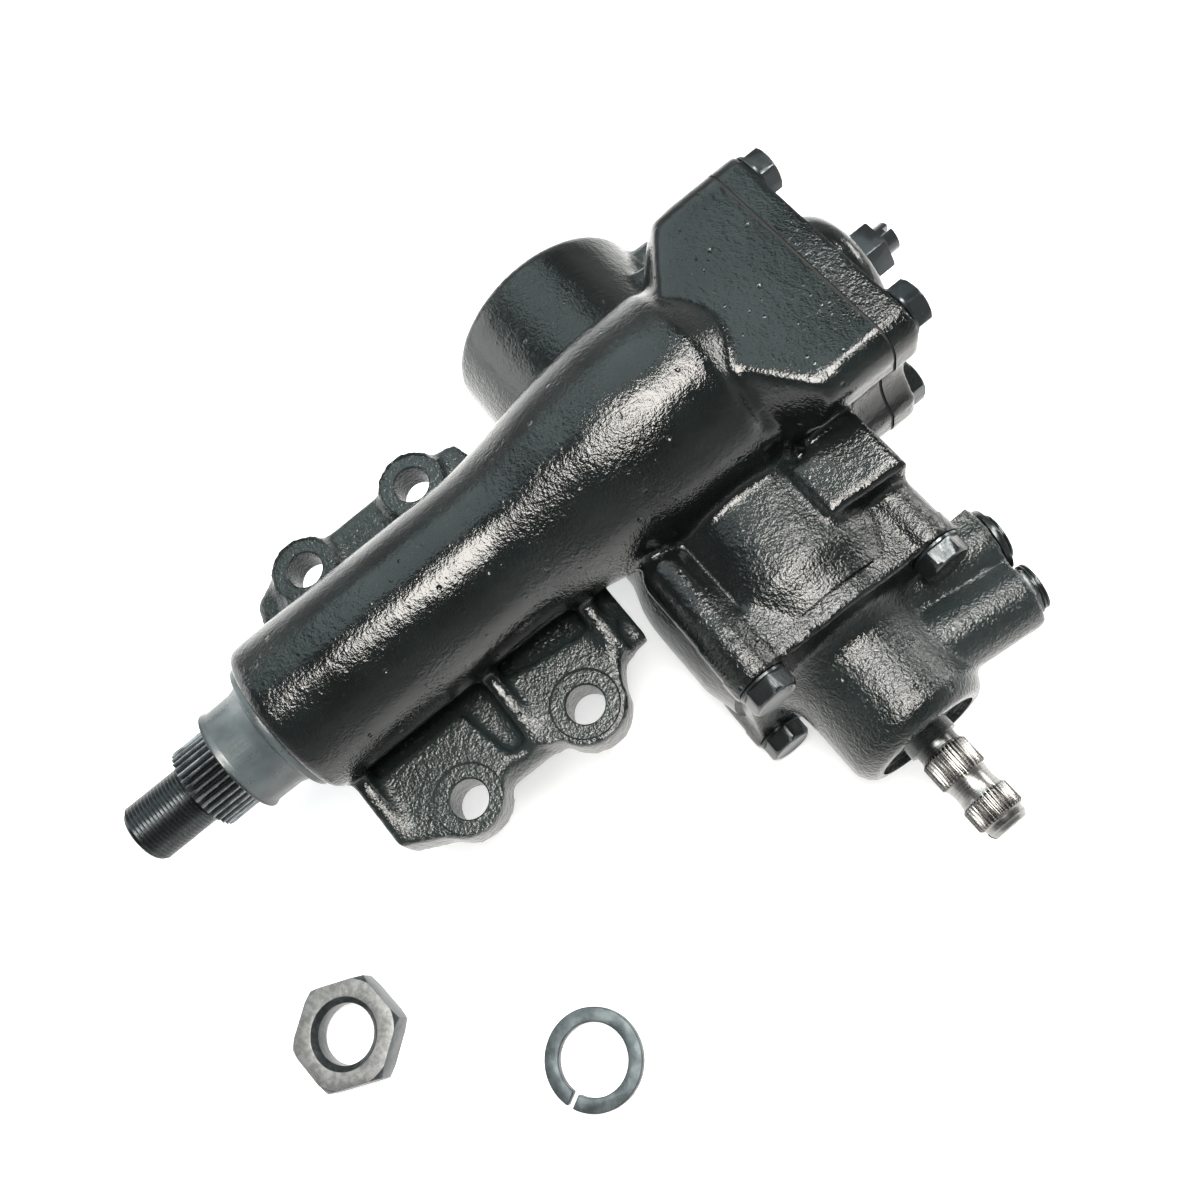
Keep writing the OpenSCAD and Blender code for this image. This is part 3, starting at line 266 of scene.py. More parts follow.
def cast_paint():
    """Gloss black paint on a sand casting, whose skin breaks the highlights into fine shards, with a painted sheen
    on the ears.
    """
    paint = settings().gearbox_paint
    kit = Finish("cast_black_paint")
    patch = kit.noise(28, 3)
    ears = 1 - kit.step(kit.along(2), EAR_TOP - 2 * MM, EAR_TOP + 6 * MM)
    valve_end = kit.step(kit.along(0), *VALVE_END)
    joint_y = box_span("cover_gasket", 1)[0]
    pad_z = MOUNTS["pad_face"]["pos_m"][2]
    along_y = kit.along(1)
    fine_end = kit.step(along_y, joint_y - FINE_START, joint_y - FINE_FULL)
    fine_end = fine_end * (1 - kit.step(along_y, joint_y, joint_y + 1 * MM))
    fine_end = fine_end * kit.step(kit.along(2), pad_z - 2.5 * MM, pad_z - 1.5 * MM)
    sandy = kit.step(kit.noise(24, 2) + 0.45 * ears + 0.22 * valve_end, 0.4, 0.66)
    sandy = sandy * (1 - 0.85 * fine_end)
    lumps = kit.noise(150, 2, 0.45)
    skin = kit.noise(450, 2, 0.5)
    sand = kit.noise(1000, 2, 0.55)
    grain = kit.noise(1700, 1)
    dent = kit.cells(120.0, 0.03, 0.15, 0.5, 0.56)
    nib = kit.cells(300.0, 0.05, 0.3, 0.7, 0.74)
    skin_height = 0.12 + 0.17 * sandy + 0.12 * ears
    sand_height = 0.08 + 0.18 * sandy + 0.1 * ears
    relief = lumps * 0.1 + skin * skin_height + sand * sand_height
    relief = relief + grain * 0.04 + nib * 0.1 - dent * 0.34
    # Painted sheen: the ears lean to the tint, and up to twice its lightness, in place of the light their flat
    # tops reflect.
    colour = kit.mix(kit.step(patch + 0.35 * ears, 0.35, 0.7), paint.colour, paint.tint_and_sheen)
    colour = kit.mix(ears * kit.step(patch, 0.3, 0.6), colour, shade(paint.tint_and_sheen, 2))
    rough = paint.gloss + 0.08 * kit.noise(60, 2)
    return kit.set(Base_Color=colour, Roughness=rough, Specular_IOR_Level=0.55, IOR=1.5,
                   Normal=kit.bump(relief, 1 * MM))


def fastener_paint():
    """Forged bolts and plugs: dark steel that shines through a thin black coat."""
    kit = Finish("fastener_black_paint")
    height = kit.noise(260, 2) * 0.6 + kit.noise(900, 2) * 0.12
    worn = kit.step(kit.noise(140, 3, 0.6), 0.62, 0.75)
    colour = kit.mix(worn, (0.05, 0.056, 0.058), (0.13, 0.136, 0.136))
    return kit.set(Base_Color=colour, Roughness=0.16 + 0.14 * kit.noise(120, 2), Metallic=0.8,
                   Normal=kit.bump(height, 0.22 * MM))


def spot_face():
    """Machined ring round a bolt hole under a thin coat of paint."""
    kit = Finish("spot_faced_iron")
    tone = kit.step(kit.noise(220, 3), 0.4, 0.65)
    colour = kit.mix(tone, (0.011, 0.0145, 0.015), (0.02, 0.025, 0.0255))
    return kit.set(Base_Color=colour, Roughness=0.24 + 0.14 * kit.noise(300, 2), IOR=1.5,
                   Normal=kit.bump(kit.noise(700, 2) * 0.6 + kit.noise(200, 2), 0.045 * MM))


def bare_iron():
    """Drilled wall of a bolt hole, bare grey iron."""
    kit = Finish("bare_drilled_iron")
    rings = kit.noise(1.0, 2, 0.5, kit.stretched((160, 160, 2600)))
    colour = kit.mix(rings, (0.2, 0.2, 0.195), (0.33, 0.33, 0.32))
    return kit.metal(colour, rings, 0.34, 0.2, 0.85, 0.1)


def dark_steel():
    """Dark phosphated steel of the drop arm nut, with a fine crystal grain."""
    shaft = settings().gearbox_shaft
    kit = Finish("dark_nut_steel")
    cloud = kit.noise(70, 3, 0.55)
    fine = kit.noise(420.0, 3, 0.6)
    tone = kit.step(cloud * 0.6 + fine * 0.4, 0.36, 0.66)
    colour = kit.mix(tone, shade(shaft.dark, 0.65), shade(shaft.dark, 1.5))
    return kit.metal(colour, fine, 0.26, 0.2, 0.9, 0.08)


def sector_steel():
    """Oiled dark steel of the sector shaft, lighter on the crests of its spline and thread as wear and as a
    painted highlight, with a darker thread.
    """
    shaft = settings().gearbox_shaft
    kit = Finish("oiled_shaft_steel")
    fine = kit.noise(600, 3, 0.6)
    reach = kit.reach(SECTOR_AXIS, 1)
    spline_y = MOUNTS["drop_arm_spline"]["pos_m"][1]
    half = 8.5 * MM
    spline_r = turned_radii("sector_shaft", 1, SECTOR_AXIS, spline_y - half, spline_y + half)[1]
    thread_r = MOUNTS["drop_arm_thread"]["dims"]["r_mm"] * MM
    # The crests of the spline and thread are drawn lighter than the grooves. This is partly wear, partly a painted
    # highlight on the crests and painted shade in the grooves.
    spline_crest_wear_and_glint = kit.step(reach, spline_r - 0.75 * MM, spline_r - 0.2 * MM)
    thread_crest_wear_and_glint = kit.step(reach, thread_r - 0.5 * MM, thread_r - 0.12 * MM)
    thread_crest_wear_and_glint = thread_crest_wear_and_glint * (1 - kit.step(reach, thread_r, thread_r + 1 * MM))
    worn = (spline_crest_wear_and_glint + 0.22 * thread_crest_wear_and_glint) * kit.step(kit.noise(160, 3), 0.3, 0.62)
    colour = kit.mix(worn * 0.85 + fine * 0.15, shade(shaft.dark, 0.6), shade(shaft.dark, 4.2))
    thread_end = spline_y - 9 * MM
    threaded = 1 - kit.step(kit.along(1), thread_end - 1 * MM, thread_end + 1 * MM)
    colour = kit.mix(threaded * 0.75, colour, shade(shaft.dark, 0.3))
    return kit.metal(colour, fine, 0.2, 0.16, 0.95, 0.05)


def spring_steel():
    """Blued spring steel of the split washer."""
    kit = Finish("blued_spring_steel")
    cloud = kit.noise(130, 3, 0.6)
    fine = kit.noise(650, 3, 0.6)
    colour = kit.mix(kit.step(cloud, 0.35, 0.66), (0.05, 0.062, 0.068), (0.105, 0.125, 0.133))
    return kit.metal(colour, fine, 0.36, 0.2, 0.8, 0.09)


def faced_steel():
    """Turned face of the drop arm nut, lighter than its forged sides."""
    kit = Finish("faced_nut_steel")
    fine = kit.noise(500, 3, 0.6)
    colour = kit.mix(kit.step(fine, 0.35, 0.65), (0.2, 0.204, 0.204), (0.31, 0.315, 0.312))
    return kit.metal(colour, fine, 0.4, 0.16, 0.75, 0.06)


def turned_steel(name, low, high, along, rough):
    """Bright steel with turning marks round an axis, 0 for X and 1 for Y."""
    kit = Finish(name)
    scale = [90.0, 90.0, 90.0]
    scale[along] = 2400.0
    rings = kit.noise(1.0, 3, 0.6, kit.stretched(tuple(scale)))
    cloud = kit.noise(90, 3)
    colour = kit.mix(kit.step(rings * 0.6 + cloud * 0.4, 0.35, 0.65), low, high)
    return kit.metal(colour, rings, rough, 0.16, 1.0, 0.035)


def input_steel():
    """Ground steel of the input shaft: bright crests, painted shade in the spline grooves, and a painted dark
    reflection on the neck.
    """
    shaft = settings().gearbox_shaft
    kit = Finish("bright_splined_steel")
    rings = kit.noise(1.0, 3, 0.6, kit.stretched((2400.0, 90.0, 90.0)))
    cloud = kit.noise(110, 3)
    tone = kit.step(rings * 0.45 + cloud * 0.55, 0.36, 0.64)
    colour = kit.mix(tone, shade(shaft.bright, 0.66), shaft.bright)
    spline_x = MOUNTS["input_spline"]["pos_m"][0]
    mouth_x = box_span("valve_housing", 0)[1]
    half = 5.5 * MM
    crest_r = turned_radii("input_shaft", 0, WORM_AXIS, spline_x - half, spline_x + half)[1]
    reach = kit.reach(WORM_AXIS, 0)
    # Painted shade: the bottoms of the spline grooves are drawn near black.
    groove_shade = kit.step(reach, crest_r - 0.99 * MM, crest_r - 0.93 * MM)
    groove_shade = groove_shade * (1 - kit.step(reach, crest_r - 0.8 * MM, crest_r - 0.2 * MM))
    colour = kit.mix(groove_shade * 0.86, colour, (0.05, 0.045, 0.04))
    # Painted dark reflection: the neck next to the housing mouth is drawn near black.
    neck_dark_reflection = 1 - kit.step(kit.along(0), mouth_x + 5.6 * MM, mouth_x + 7.4 * MM)
    colour = kit.mix(neck_dark_reflection * 0.9, colour, (0.05, 0.055, 0.055))
    return kit.metal(colour, rings, 0.2, 0.14, 1.0, 0.03)


def dust_rubber():
    """Slate grey moulded rubber: semi-gloss, streaked with oil, with a dark lip."""
    seal = settings().gearbox_seal
    kit = Finish("grey_moulded_rubber")
    low = box_span("dust_seal", 1)[0]
    cloud = kit.noise(60, 3, 0.55)
    fine = kit.noise(800, 2, 0.6)
    oily = kit.step(kit.noise(1.0, 2, 0.5, kit.stretched((150.0, 30.0, 150.0))), 0.42, 0.66)
    lip = 1 - kit.step(kit.along(1), low + 0.7 * MM, low + 1.5 * MM)
    colour = kit.mix(kit.step(cloud, 0.35, 0.7), seal.dust, shade(seal.dust, 1.7))
    colour = kit.mix(lip * 0.9, colour, (0.008, 0.008, 0.008))
    rough = 0.36 - 0.12 * oily + 0.06 * fine
    return kit.set(Base_Color=colour, Roughness=rough, Specular_IOR_Level=0.7, IOR=1.5,
                   Normal=kit.bump(fine * 0.6 + kit.noise(180, 2) * 0.5, 0.09 * MM))


def plain_finish(name, rough, metal, grain, depth, low, high):
    """A finish for inner pieces: two tones of cloud and a fine grain."""
    kit = Finish(name)
    fine = kit.noise(grain, 3, 0.6)
    colour = kit.mix(kit.step(kit.noise(80, 3) * 0.6 + fine * 0.4, 0.36, 0.64), low, high)
    return kit.metal(colour, fine, rough, 0.14, metal, depth)


FINISH = {}
# Finishes of inner pieces, by slot: name, roughness, metal, grain, depth of grain, dark and light tone.
PLAIN = {
    "gasket": ("sealing_sheet", 0.6, 0.0, 700, 0.05, (0.006, 0.006, 0.006), (0.014, 0.014, 0.014)),
    "bronze": ("plain_bronze", 0.3, 1.0, 600, 0.05, (0.36, 0.24, 0.1), (0.5, 0.36, 0.17)),
    "polished_steel": ("polished_ball_steel", 0.06, 1.0, 300, 0.005,
                       (0.58, 0.6, 0.61), (0.66, 0.68, 0.69)),
    "seal_rubber": ("oiled_black_rubber", 0.4, 0.0, 700, 0.05,
                    (0.012, 0.011, 0.01), (0.024, 0.022, 0.02)),
    "seal_plastic": ("sealing_plastic", 0.5, 0.0, 500, 0.05, (0.22, 0.18, 0.12), (0.34, 0.29, 0.22)),
}
# Turned finishes, by slot: name, dark tone, light tone, axis, roughness.
TURNED = {
    "bearing_steel": ("ground_bearing_steel", (0.4, 0.41, 0.42), (0.52, 0.53, 0.54), 1, 0.16),
    "piston_steel": ("ground_piston_steel", (0.28, 0.29, 0.3), (0.38, 0.4, 0.41), 0, 0.24),
}


def make_finishes():
    """Makes every finish once, under the record's slot names and a few extra ones."""
    for slot, values in PLAIN.items():
        FINISH[slot] = plain_finish(*values)
    for slot, values in TURNED.items():
        FINISH[slot] = turned_steel(*values)
    FINISH.update({
        "black_paint": cast_paint(),
        "painted_fastener": fastener_paint(),
        "dark_steel": dark_steel(),
        "spring_steel": spring_steel(),
        "dust_rubber": dust_rubber(),
        "sector_steel": sector_steel(),
        "input_steel": input_steel(),
        "spot_face": spot_face(),
        "bare_iron": bare_iron(),
        "faced_steel": faced_steel(),
    })


# Mesh helpers.
def node_copy(node):
    """A merged copy of a solid's triangles."""
    work = bmesh.new()
    work.from_mesh(NODES[node].data)
    bmesh.ops.remove_doubles(work, verts=work.verts, dist=0.002 * MM)
    return work


def close_holes(work):
    """Caps every open loop of edges."""
    bmesh.ops.holes_fill(work, edges=[edge for edge in work.edges if edge.is_boundary], sides=0)


def flat_faces(work, angle=0.6):
    """Joins the triangles of each flat face."""
    bmesh.ops.dissolve_limit(work, angle_limit=math.radians(angle), verts=work.verts, edges=work.edges)


def placed(name, data):
    """A new object in the scene."""
    made = bpy.data.objects.new(name, data)
    bpy.context.scene.collection.objects.link(made)
    return made


def add_piece(name, mesh, node, materials, smooth=35):
    """Makes a finished piece: its mesh, materials and body, and hides the node that it stands for."""
    piece = placed(name, mesh)
    mesh.materials.clear()
    for material in materials:
        mesh.materials.append(material)
    mesh.shade_smooth()
    mesh.set_sharp_from_angle(angle=math.radians(smooth))
    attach(piece, BODY_OF[node])
    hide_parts(node)
    return piece


def to_mesh(work, name):
    """Turns a bmesh into a mesh and frees it."""
    mesh = bpy.data.meshes.new(name)
    work.to_mesh(mesh)
    work.free()
    return mesh


def taken(holder, *tools):
    """The mesh of an object after its modifiers. The object and its tools are removed."""
    graph = bpy.context.evaluated_depsgraph_get()
    result = bpy.data.meshes.new_from_object(holder.evaluated_get(graph))
    for thing in (holder, *tools):
        bpy.data.objects.remove(thing)
    return result


def baked(mesh, name, kind, **options):
    """A plain mesh after one modifier, given by its type and settings."""
    holder = placed(name + "_work", mesh)
    modifier = holder.modifiers.new(kind.lower(), kind)
    for key, value in options.items():
        setattr(modifier, key, value)
    result = taken(holder)
    result.name = name
    return result


def bevelled(node, width, segments=2, angle=30):
    """A copy of a solid with its sharp edges broken."""
    work = node_copy(node)
    flat_faces(work)
    return baked(to_mesh(work, node + "_edges"), node + "_look", "BEVEL", width=width, segments=segments,
                 limit_method="ANGLE", angle_limit=math.radians(angle))


# Turns that lay the Z axis along X, Y or Z.
LEAN = (Euler((0, math.pi / 2, 0)), Euler((-math.pi / 2, 0, 0)), Euler((0, 0, 0)))


def bar(work, centre, axis, radius, low, high, sides=64, flare=0.0):
    """Adds a closed round bar along an axis to a bmesh, wider at its high end by the flare."""
    place = Vector(centre)
    place[axis] = (low + high) / 2
    turn = LEAN[axis].to_matrix().to_4x4()
    bmesh.ops.create_cone(work, cap_ends=True, segments=sides, radius1=radius, radius2=radius + flare,
                          depth=high - low, matrix=Matrix.Translation(place) @ turn)


def tool_object(name, work, material):
    """An object to cut or join with, from a bmesh."""
    tool = placed(name, to_mesh(work, name))
    tool.data.materials.append(material)
    return tool


def bar_object(name, centre, axis, radius, low, high, sides, material, flare=0.0):
    """A closed round bar as an object to cut or join with."""
    work = bmesh.new()
    bar(work, centre, axis, radius, low, high, sides, flare)
    return tool_object(name, work, material)


def block_object(name, low, high, material):
    """A closed block between two corners as an object to cut with."""
    work = bmesh.new()
    bmesh.ops.create_cube(work, size=1)
    for vert in work.verts:
        vert.co = [a if c < 0 else b for c, a, b in zip(vert.co, low, high)]
    return tool_object(name, work, material)


def coordinates(mesh, key="co"):
    """The points of a mesh, or its normals, as an array."""
    values = np.zeros(len(mesh.vertices) * 3)
    mesh.vertices.foreach_get(key, values)
    return values.reshape(-1, 3)


def move_to(mesh, points):
    """Moves the points of a mesh."""
    mesh.vertices.foreach_set("co", points.ravel())
    mesh.update()


def relaxed(points, edges, weight, rounds):
    """Lets each point drift towards its neighbours, as a casting's corners run into fillets."""
    first, second = edges[:, 0], edges[:, 1]
    size = len(points)
    count = np.bincount(first, minlength=size) + np.bincount(second, minlength=size)
    for _ in range(rounds):
        total = np.stack([
            np.bincount(first, place[second], size) + np.bincount(second, place[first], size)
            for place in points.T], axis=1)
        points = points + (0.5 * weight)[:, None] * (total / count[:, None] - points)
    return points


# Lumps of the cast skin, in waves to the metre, and what counts as on a joint or as a sliver.
WIDE_LUMPS = 95.0
SMALL_LUMPS = 210.0
LUMP_SHIFT = Vector((7, 3, 1))
ON_JOINT = 0.01 * MM
SLIVER = 0.001 * MM


def cast_piece(node, fillers, voxel, keep, stretch, tools):
    """Makes a casting from a solid: bores filled, corners run into fillets, lumps raised, bores cut again.

    Keep says how far each point may move, from 0 to 1. Stretch gives the joints, each an axis, a place and
    how far it is drawn out before a tool cuts it back. Tools are pairs of an operation and an object.
    """
    paint = settings().gearbox_paint
    work = node_copy(node)
    for axis, place, run in stretch:
        for vert in work.verts:
            if abs(vert.co[axis] - place) < ON_JOINT:
                vert.co[axis] += run
    for centre, axis, radius, low, high in fillers:
        bar(work, centre, axis, radius, low, high)
    stock = to_mesh(work, node + "_stock")
    mesh = baked(stock, node + "_cast", "REMESH", mode="VOXEL", voxel_size=voxel)
    points = coordinates(mesh)
    edges = np.zeros(len(mesh.edges) * 2, dtype=np.int64)
    mesh.edges.foreach_get("vertices", edges)
    weight = keep(points)
    rounds = max(3, int(round(4 * (paint.fillet / voxel) ** 2)))
    points = relaxed(points, edges.reshape(-1, 2), weight, rounds)
    move_to(mesh, points)
    rise = np.array([
        noise.noise(Vector(p) * WIDE_LUMPS) + 0.8 * noise.noise(Vector(p) * SMALL_LUMPS + LUMP_SHIFT)
        for p in points])
    move_to(mesh, points + coordinates(mesh, "normal") * (rise * weight * paint.lump)[:, None])
    mesh.materials.append(FINISH["black_paint"])
    holder = placed(node + "_holder", mesh)
    for operation, tool in tools:
        modifier = holder.modifiers.new(tool.name, "BOOLEAN")
        modifier.operation = operation
        modifier.solver = "MANIFOLD"
        modifier.object = tool
        modifier.material_mode = "TRANSFER"
    result = taken(holder, *(tool for operation, tool in tools))
    work = bmesh.new()
    work.from_mesh(result)
    bmesh.ops.remove_doubles(work, verts=work.verts, dist=SLIVER)
    bmesh.ops.dissolve_degenerate(work, edges=work.edges, dist=SLIVER)
    close_holes(work)
    work.to_mesh(result)
    work.free()
    result.validate()
    add_piece(node + "_casting", result, node, list(result.materials), smooth=38)


def box_span(node, axis):
    """Lowest and highest point of a node along an axis."""
    low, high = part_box(node)
    return low[axis], high[axis]


def box_radius(node, axis):
    """Half the width of a node across an axis."""
    low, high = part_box(node)
    return max(high[other] - low[other] for other in range(3) if other != axis) / 2


def from_axis(points, axis, centre):
    """Distance of each point from an axis."""
    one, two = [k for k in range(3) if k != axis]
    return np.hypot(points[:, one] - centre[one], points[:, two] - centre[two])


def turned_radii(node, axis, centre, low, high):
    """Smallest and largest distance from an axis of the points of a node between two places along it."""
    points = coordinates(NODES[node].data)
    points = points[(points[:, axis] > low) & (points[:, axis] < high)]
    reach = from_axis(points, axis, centre)
    return float(reach.min()), float(reach.max())


# Castings: how far a joint is drawn out, the reach of a cutting block, room in a bore, bolt holes.
DRAW = 2.6 * MM
FAR = 0.4
SEAT = 0.05 * MM
RING_ROOM = 0.06 * MM
BOLT_FILL_R = 6.5 * MM
HEAD_R = 8 * MM


def off_plane(points, axis, place, width):
    """Distance of each point from a plane, in widths."""
    return np.abs(points[:, axis] - place) / width


def off_axes(points, centres, axis, radius, width):
    """How far each point lies outside a radius round the nearest of some axes, in widths."""
    return (np.minimum.reduce([from_axis(points, axis, centre) for centre in centres]) - radius) / width


def lowest(floor, *values):
    """The lowest of several values at each point, between a floor and 1."""
    return np.clip(np.minimum.reduce(values), floor, 1)


class GEARBOX_OT_castings(bpy.types.Operator):
    """Casts the gear housing, the valve housing and the top cover with fillets and a lumpy skin"""

    bl_idname = "gearbox.castings"
    bl_label = "Castings"

    def execute(self, context):
        self.gear_housing()
        self.valve_housing()
        self.sector_cover()
        return {"FINISHED"}

    def gear_housing(self):
        sector = SECTOR_AXIS
        worm = WORM_AXIS
        joint_y = box_span("cover_gasket", 1)[0]
        joint_x = box_span("gear_housing", 0)[1]
        bore_r = box_radius("piston_ring", 0) + RING_ROOM
        race_r = box_radius("upper_bearing_cup", 1) + SEAT
        chamber_y = box_span("upper_bearing_cup", 1)[1] + 7 * MM
        chamber_r = turned_radii("gear_housing", 1, sector, joint_y - 0.1 * MM, joint_y + 0.1 * MM)[0]
        cup_bottom = box_span("gear_housing", 0)[0] + 9 * MM
        barrel_end = box_span("dust_seal", 1)[1]
        seal_r = box_radius("sector_oil_seal", 1) + SEAT
        seal_end = box_span("sector_oil_seal", 1)[1] + 0.1 * MM
        hole_r = BOLTS["hole_r_mm"] * MM
        corners = [(x * BOLTS["spacing_x_mm"] / 2 * MM, y * BOLTS["spacing_y_mm"] / 2 * MM, 0)
                   for x in (-1, 1) for y in (-1, 1)]
        fillers = [
            (sector, 1, 29 * MM, barrel_end + 0.4 * MM, joint_y + DRAW),
            (worm, 0, bore_r + 0.3 * MM, cup_bottom - 0.5 * MM, joint_x + DRAW),
        ]
        fillers += [(corner, 2, SPOT_R + 0.5 * MM, 0, EAR_TOP) for corner in corners]
        for node, axis, joint, deep in (
                ("cover_bolts", 1, joint_y, 26 * MM),
                ("valve_bolts", 0, joint_x, 24 * MM)):
            for centre in seats(node, axis):
                fillers.append((centre, axis, BOLT_FILL_R, joint - deep, joint + DRAW))
        for node in ("cylinder_plug", "relief_plug"):
            low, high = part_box(node)
            fillers.append(((low + high) / 2, 1, 7 * MM, low.y, high.y - 6.5 * MM))

        def keep(points):
            flange = off_plane(points, 1, WORM_Y, 70 * MM) < 1
            return lowest(
                0.08, off_plane(points, 1, joint_y, 5 * MM),
                np.where(flange, off_plane(points, 0, joint_x, 5 * MM), 1),
                off_plane(points, 2, 0, 4 * MM) + 0.25,
                off_axes(points, corners, 2, SPOT_R - 1 * MM, 4 * MM))

        bare = FINISH["bare_iron"]
        spot = FINISH["spot_face"]
        tools = [
            ("DIFFERENCE", block_object("cover_joint", (-FAR, joint_y, -FAR), (FAR, FAR, FAR), bare)),
            ("DIFFERENCE", block_object("valve_joint", (joint_x, -FAR, -FAR), (FAR, FAR, FAR), bare)),
        ]
        for centre, axis, radius, low, high, material in (
                (sector, 1, seal_r, barrel_end - 2 * MM, seal_end, bare),
                (sector, 1, race_r, barrel_end, box_span("lower_bearing_cup", 1)[1], bare),
                (sector, 1, race_r, box_span("upper_bearing_cup", 1)[0], chamber_y + 1 * MM, bare),
                (sector, 1, race_r - 3.5 * MM, barrel_end, joint_y, bare),
                (sector, 1, chamber_r, chamber_y, joint_y + 3 * MM, bare),
                (worm, 0, bore_r, cup_bottom, joint_x + 3 * MM, FINISH["bearing_steel"])):
            cutter = bar_object("bore", centre, axis, radius, low, high, 128, material)
            tools.append(("DIFFERENCE", cutter))
        spot_z = EAR_TOP - SPOT_DEPTH
        for corner in corners:
            for name, radius, low, high, material, flare in (
                    ("bolt_hole", hole_r, -5 * MM, EAR_TOP + 5 * MM, bare, 0),
                    ("spot_face", SPOT_R, spot_z, EAR_TOP + 20 * MM, spot, 0),
                    ("spot_edge", SPOT_R, EAR_TOP - 0.7 * MM, EAR_TOP + 0.5 * MM, spot, 1.2 * MM),
                    ("hole_edge", hole_r, spot_z - 0.6 * MM, spot_z + 0.4 * MM, bare, 1 * MM)):
                cutter = bar_object(name, corner, 2, radius, low, high, 96, material, flare)
                tools.append(("DIFFERENCE", cutter))
        stretch = [(1, joint_y, DRAW), (0, joint_x, DRAW)]
        cast_piece("gear_housing", fillers, 1.6 * MM, keep, stretch, tools)

    def valve_housing(self):
        worm = WORM_AXIS
        low_x, high_x = box_span("valve_housing", 0)
        joint_x = box_span("gear_housing", 0)[1]
        seal_low = box_span("input_oil_seal", 0)[0]
        seal_r = box_radius("input_oil_seal", 0) + SEAT
        valve_r = box_radius("sleeve_seal_rings", 0) + RING_ROOM
        bush_r = box_radius("input_bearing", 0) + SEAT
        race_r = box_radius("worm_bearing_outer", 0) + SEAT
        race_high = box_span("worm_bearing_outer", 0)[1]
        ring_low, ring_high = box_span("housing_seal_ring", 0)
        spigot_r = turned_radii("valve_housing", 0, worm, low_x - 1 * MM, joint_x - 1 * MM)[1]
        bolts = seats("valve_bolts", 0)
        fillers = [(worm, 0, 27 * MM, low_x, joint_x + 20 * MM), (worm, 0, 22 * MM, low_x, high_x)]
        fillers += [(centre, 0, BOLT_FILL_R, joint_x - DRAW, centre[0]) for centre in bolts]
        heads_end = bolts[0][0] + 5 * MM

        def keep(points):
            return lowest(
                0.1, (points[:, 0] - joint_x) / (4 * MM),
                off_plane(points, 0, high_x, 5 * MM) + 0.25,
                np.where(points[:, 0] < heads_end, off_axes(points, bolts, 0, HEAD_R, 5 * MM), 1))

        bare = FINISH["bare_iron"]
        paint = FINISH["black_paint"]
        tools = [("DIFFERENCE", block_object("joint", (-FAR, -FAR, -FAR), (joint_x, FAR, FAR), bare))]
        for radius, low, high in (
                (spigot_r, low_x, ring_low),
                (spigot_r - 3.1 * MM, ring_low - 1 * MM, ring_high + 1 * MM),
                (spigot_r, ring_high, joint_x + 1 * MM)):
            tools.append(("UNION", bar_object("spigot", worm, 0, radius, low, high, 128, bare)))
        for radius, low, high, material in (
                (race_r, low_x - 2 * MM, race_high, bare),
                (valve_r, low_x - 2 * MM, box_span("input_bearing", 0)[0], bare),
                (bush_r, low_x, seal_low, bare),
                (seal_r, seal_low - 0.3 * MM, high_x + 3 * MM, paint)):
            tools.append(("DIFFERENCE", bar_object("bore", worm, 0, radius, low, high, 96, material)))
        cast_piece("valve_housing", fillers, 1.25 * MM, keep, [(0, joint_x, -DRAW)], tools)

    def sector_cover(self):
        sector = SECTOR_AXIS
        low_y, high_y = box_span("sector_cover", 1)
        joint_y = box_span("cover_gasket", 1)[1]
        bolts = seats("cover_bolts", 1)
        spigot_r = turned_radii("sector_cover", 1, sector, low_y - 1 * MM, joint_y - 1 * MM)[1]
        fillers = [(sector, 1, 8 * MM, low_y + 20 * MM, high_y)]
        fillers += [(centre, 1, BOLT_FILL_R, joint_y - DRAW, centre[1]) for centre in bolts]

        def keep(points):
            return lowest(
                0.12, off_plane(points, 1, joint_y, 4 * MM), off_plane(points, 1, high_y, 5 * MM) + 0.3,
                off_axes(points, bolts, 1, HEAD_R, 6 * MM))

        bush_r = box_radius("cover_bush", 1) + SEAT
        bush_end = box_span("cover_bush", 1)[1] + 4.5 * MM
        screw_r = turned_radii("sector_cover", 1, sector, high_y - 0.1 * MM, high_y + 0.1 * MM)[0]
        bare = FINISH["bare_iron"]
        tools = [("DIFFERENCE", block_object("joint", (-FAR, -FAR, -FAR), (FAR, joint_y, FAR), bare))]
        for operation, name, radius, low, high, sides in (
                ("UNION", "spigot", spigot_r, low_y, joint_y + 1 * MM, 128),
                ("DIFFERENCE", "bush_seat", bush_r, low_y - 2 * MM, bush_end, 96),
                ("DIFFERENCE", "screw_hole", screw_r, low_y, high_y + 2 * MM, 64)):
            tools.append((operation, bar_object(name, sector, 1, radius, low, high, sides, bare)))
        cast_piece("sector_cover", fillers, 1.25 * MM, keep, [(1, joint_y, -DRAW)], tools)


def seats(node, axis):
    """Seats of the bolts in a set, each under the middle of its head, from the set's separate shells."""
    one, two = [k for k in range(3) if k != axis]
    work = node_copy(node)
    left = set(work.verts)
    found = []
    while left:
        queue = [left.pop()]
        shell = list(queue)
        while queue:
            for edge in queue.pop().link_edges:
                for vert in edge.verts:
                    if vert in left:
                        left.discard(vert)
                        queue.append(vert)
                        shell.append(vert)
        spans = [(min(v.co[k] for v in shell), max(v.co[k] for v in shell)) for k in range(3)]
        middle = Vector([(low + high) / 2 for low, high in spans])
        reach = [math.hypot(v.co[one] - middle[one], v.co[two] - middle[two]) for v in shell]
        wide = max(reach) * 0.75
        middle[axis] = min(v.co[axis] for v, r in zip(shell, reach) if r > wide)
        found.append(middle)
    work.free()
    return sorted(found, key=tuple)


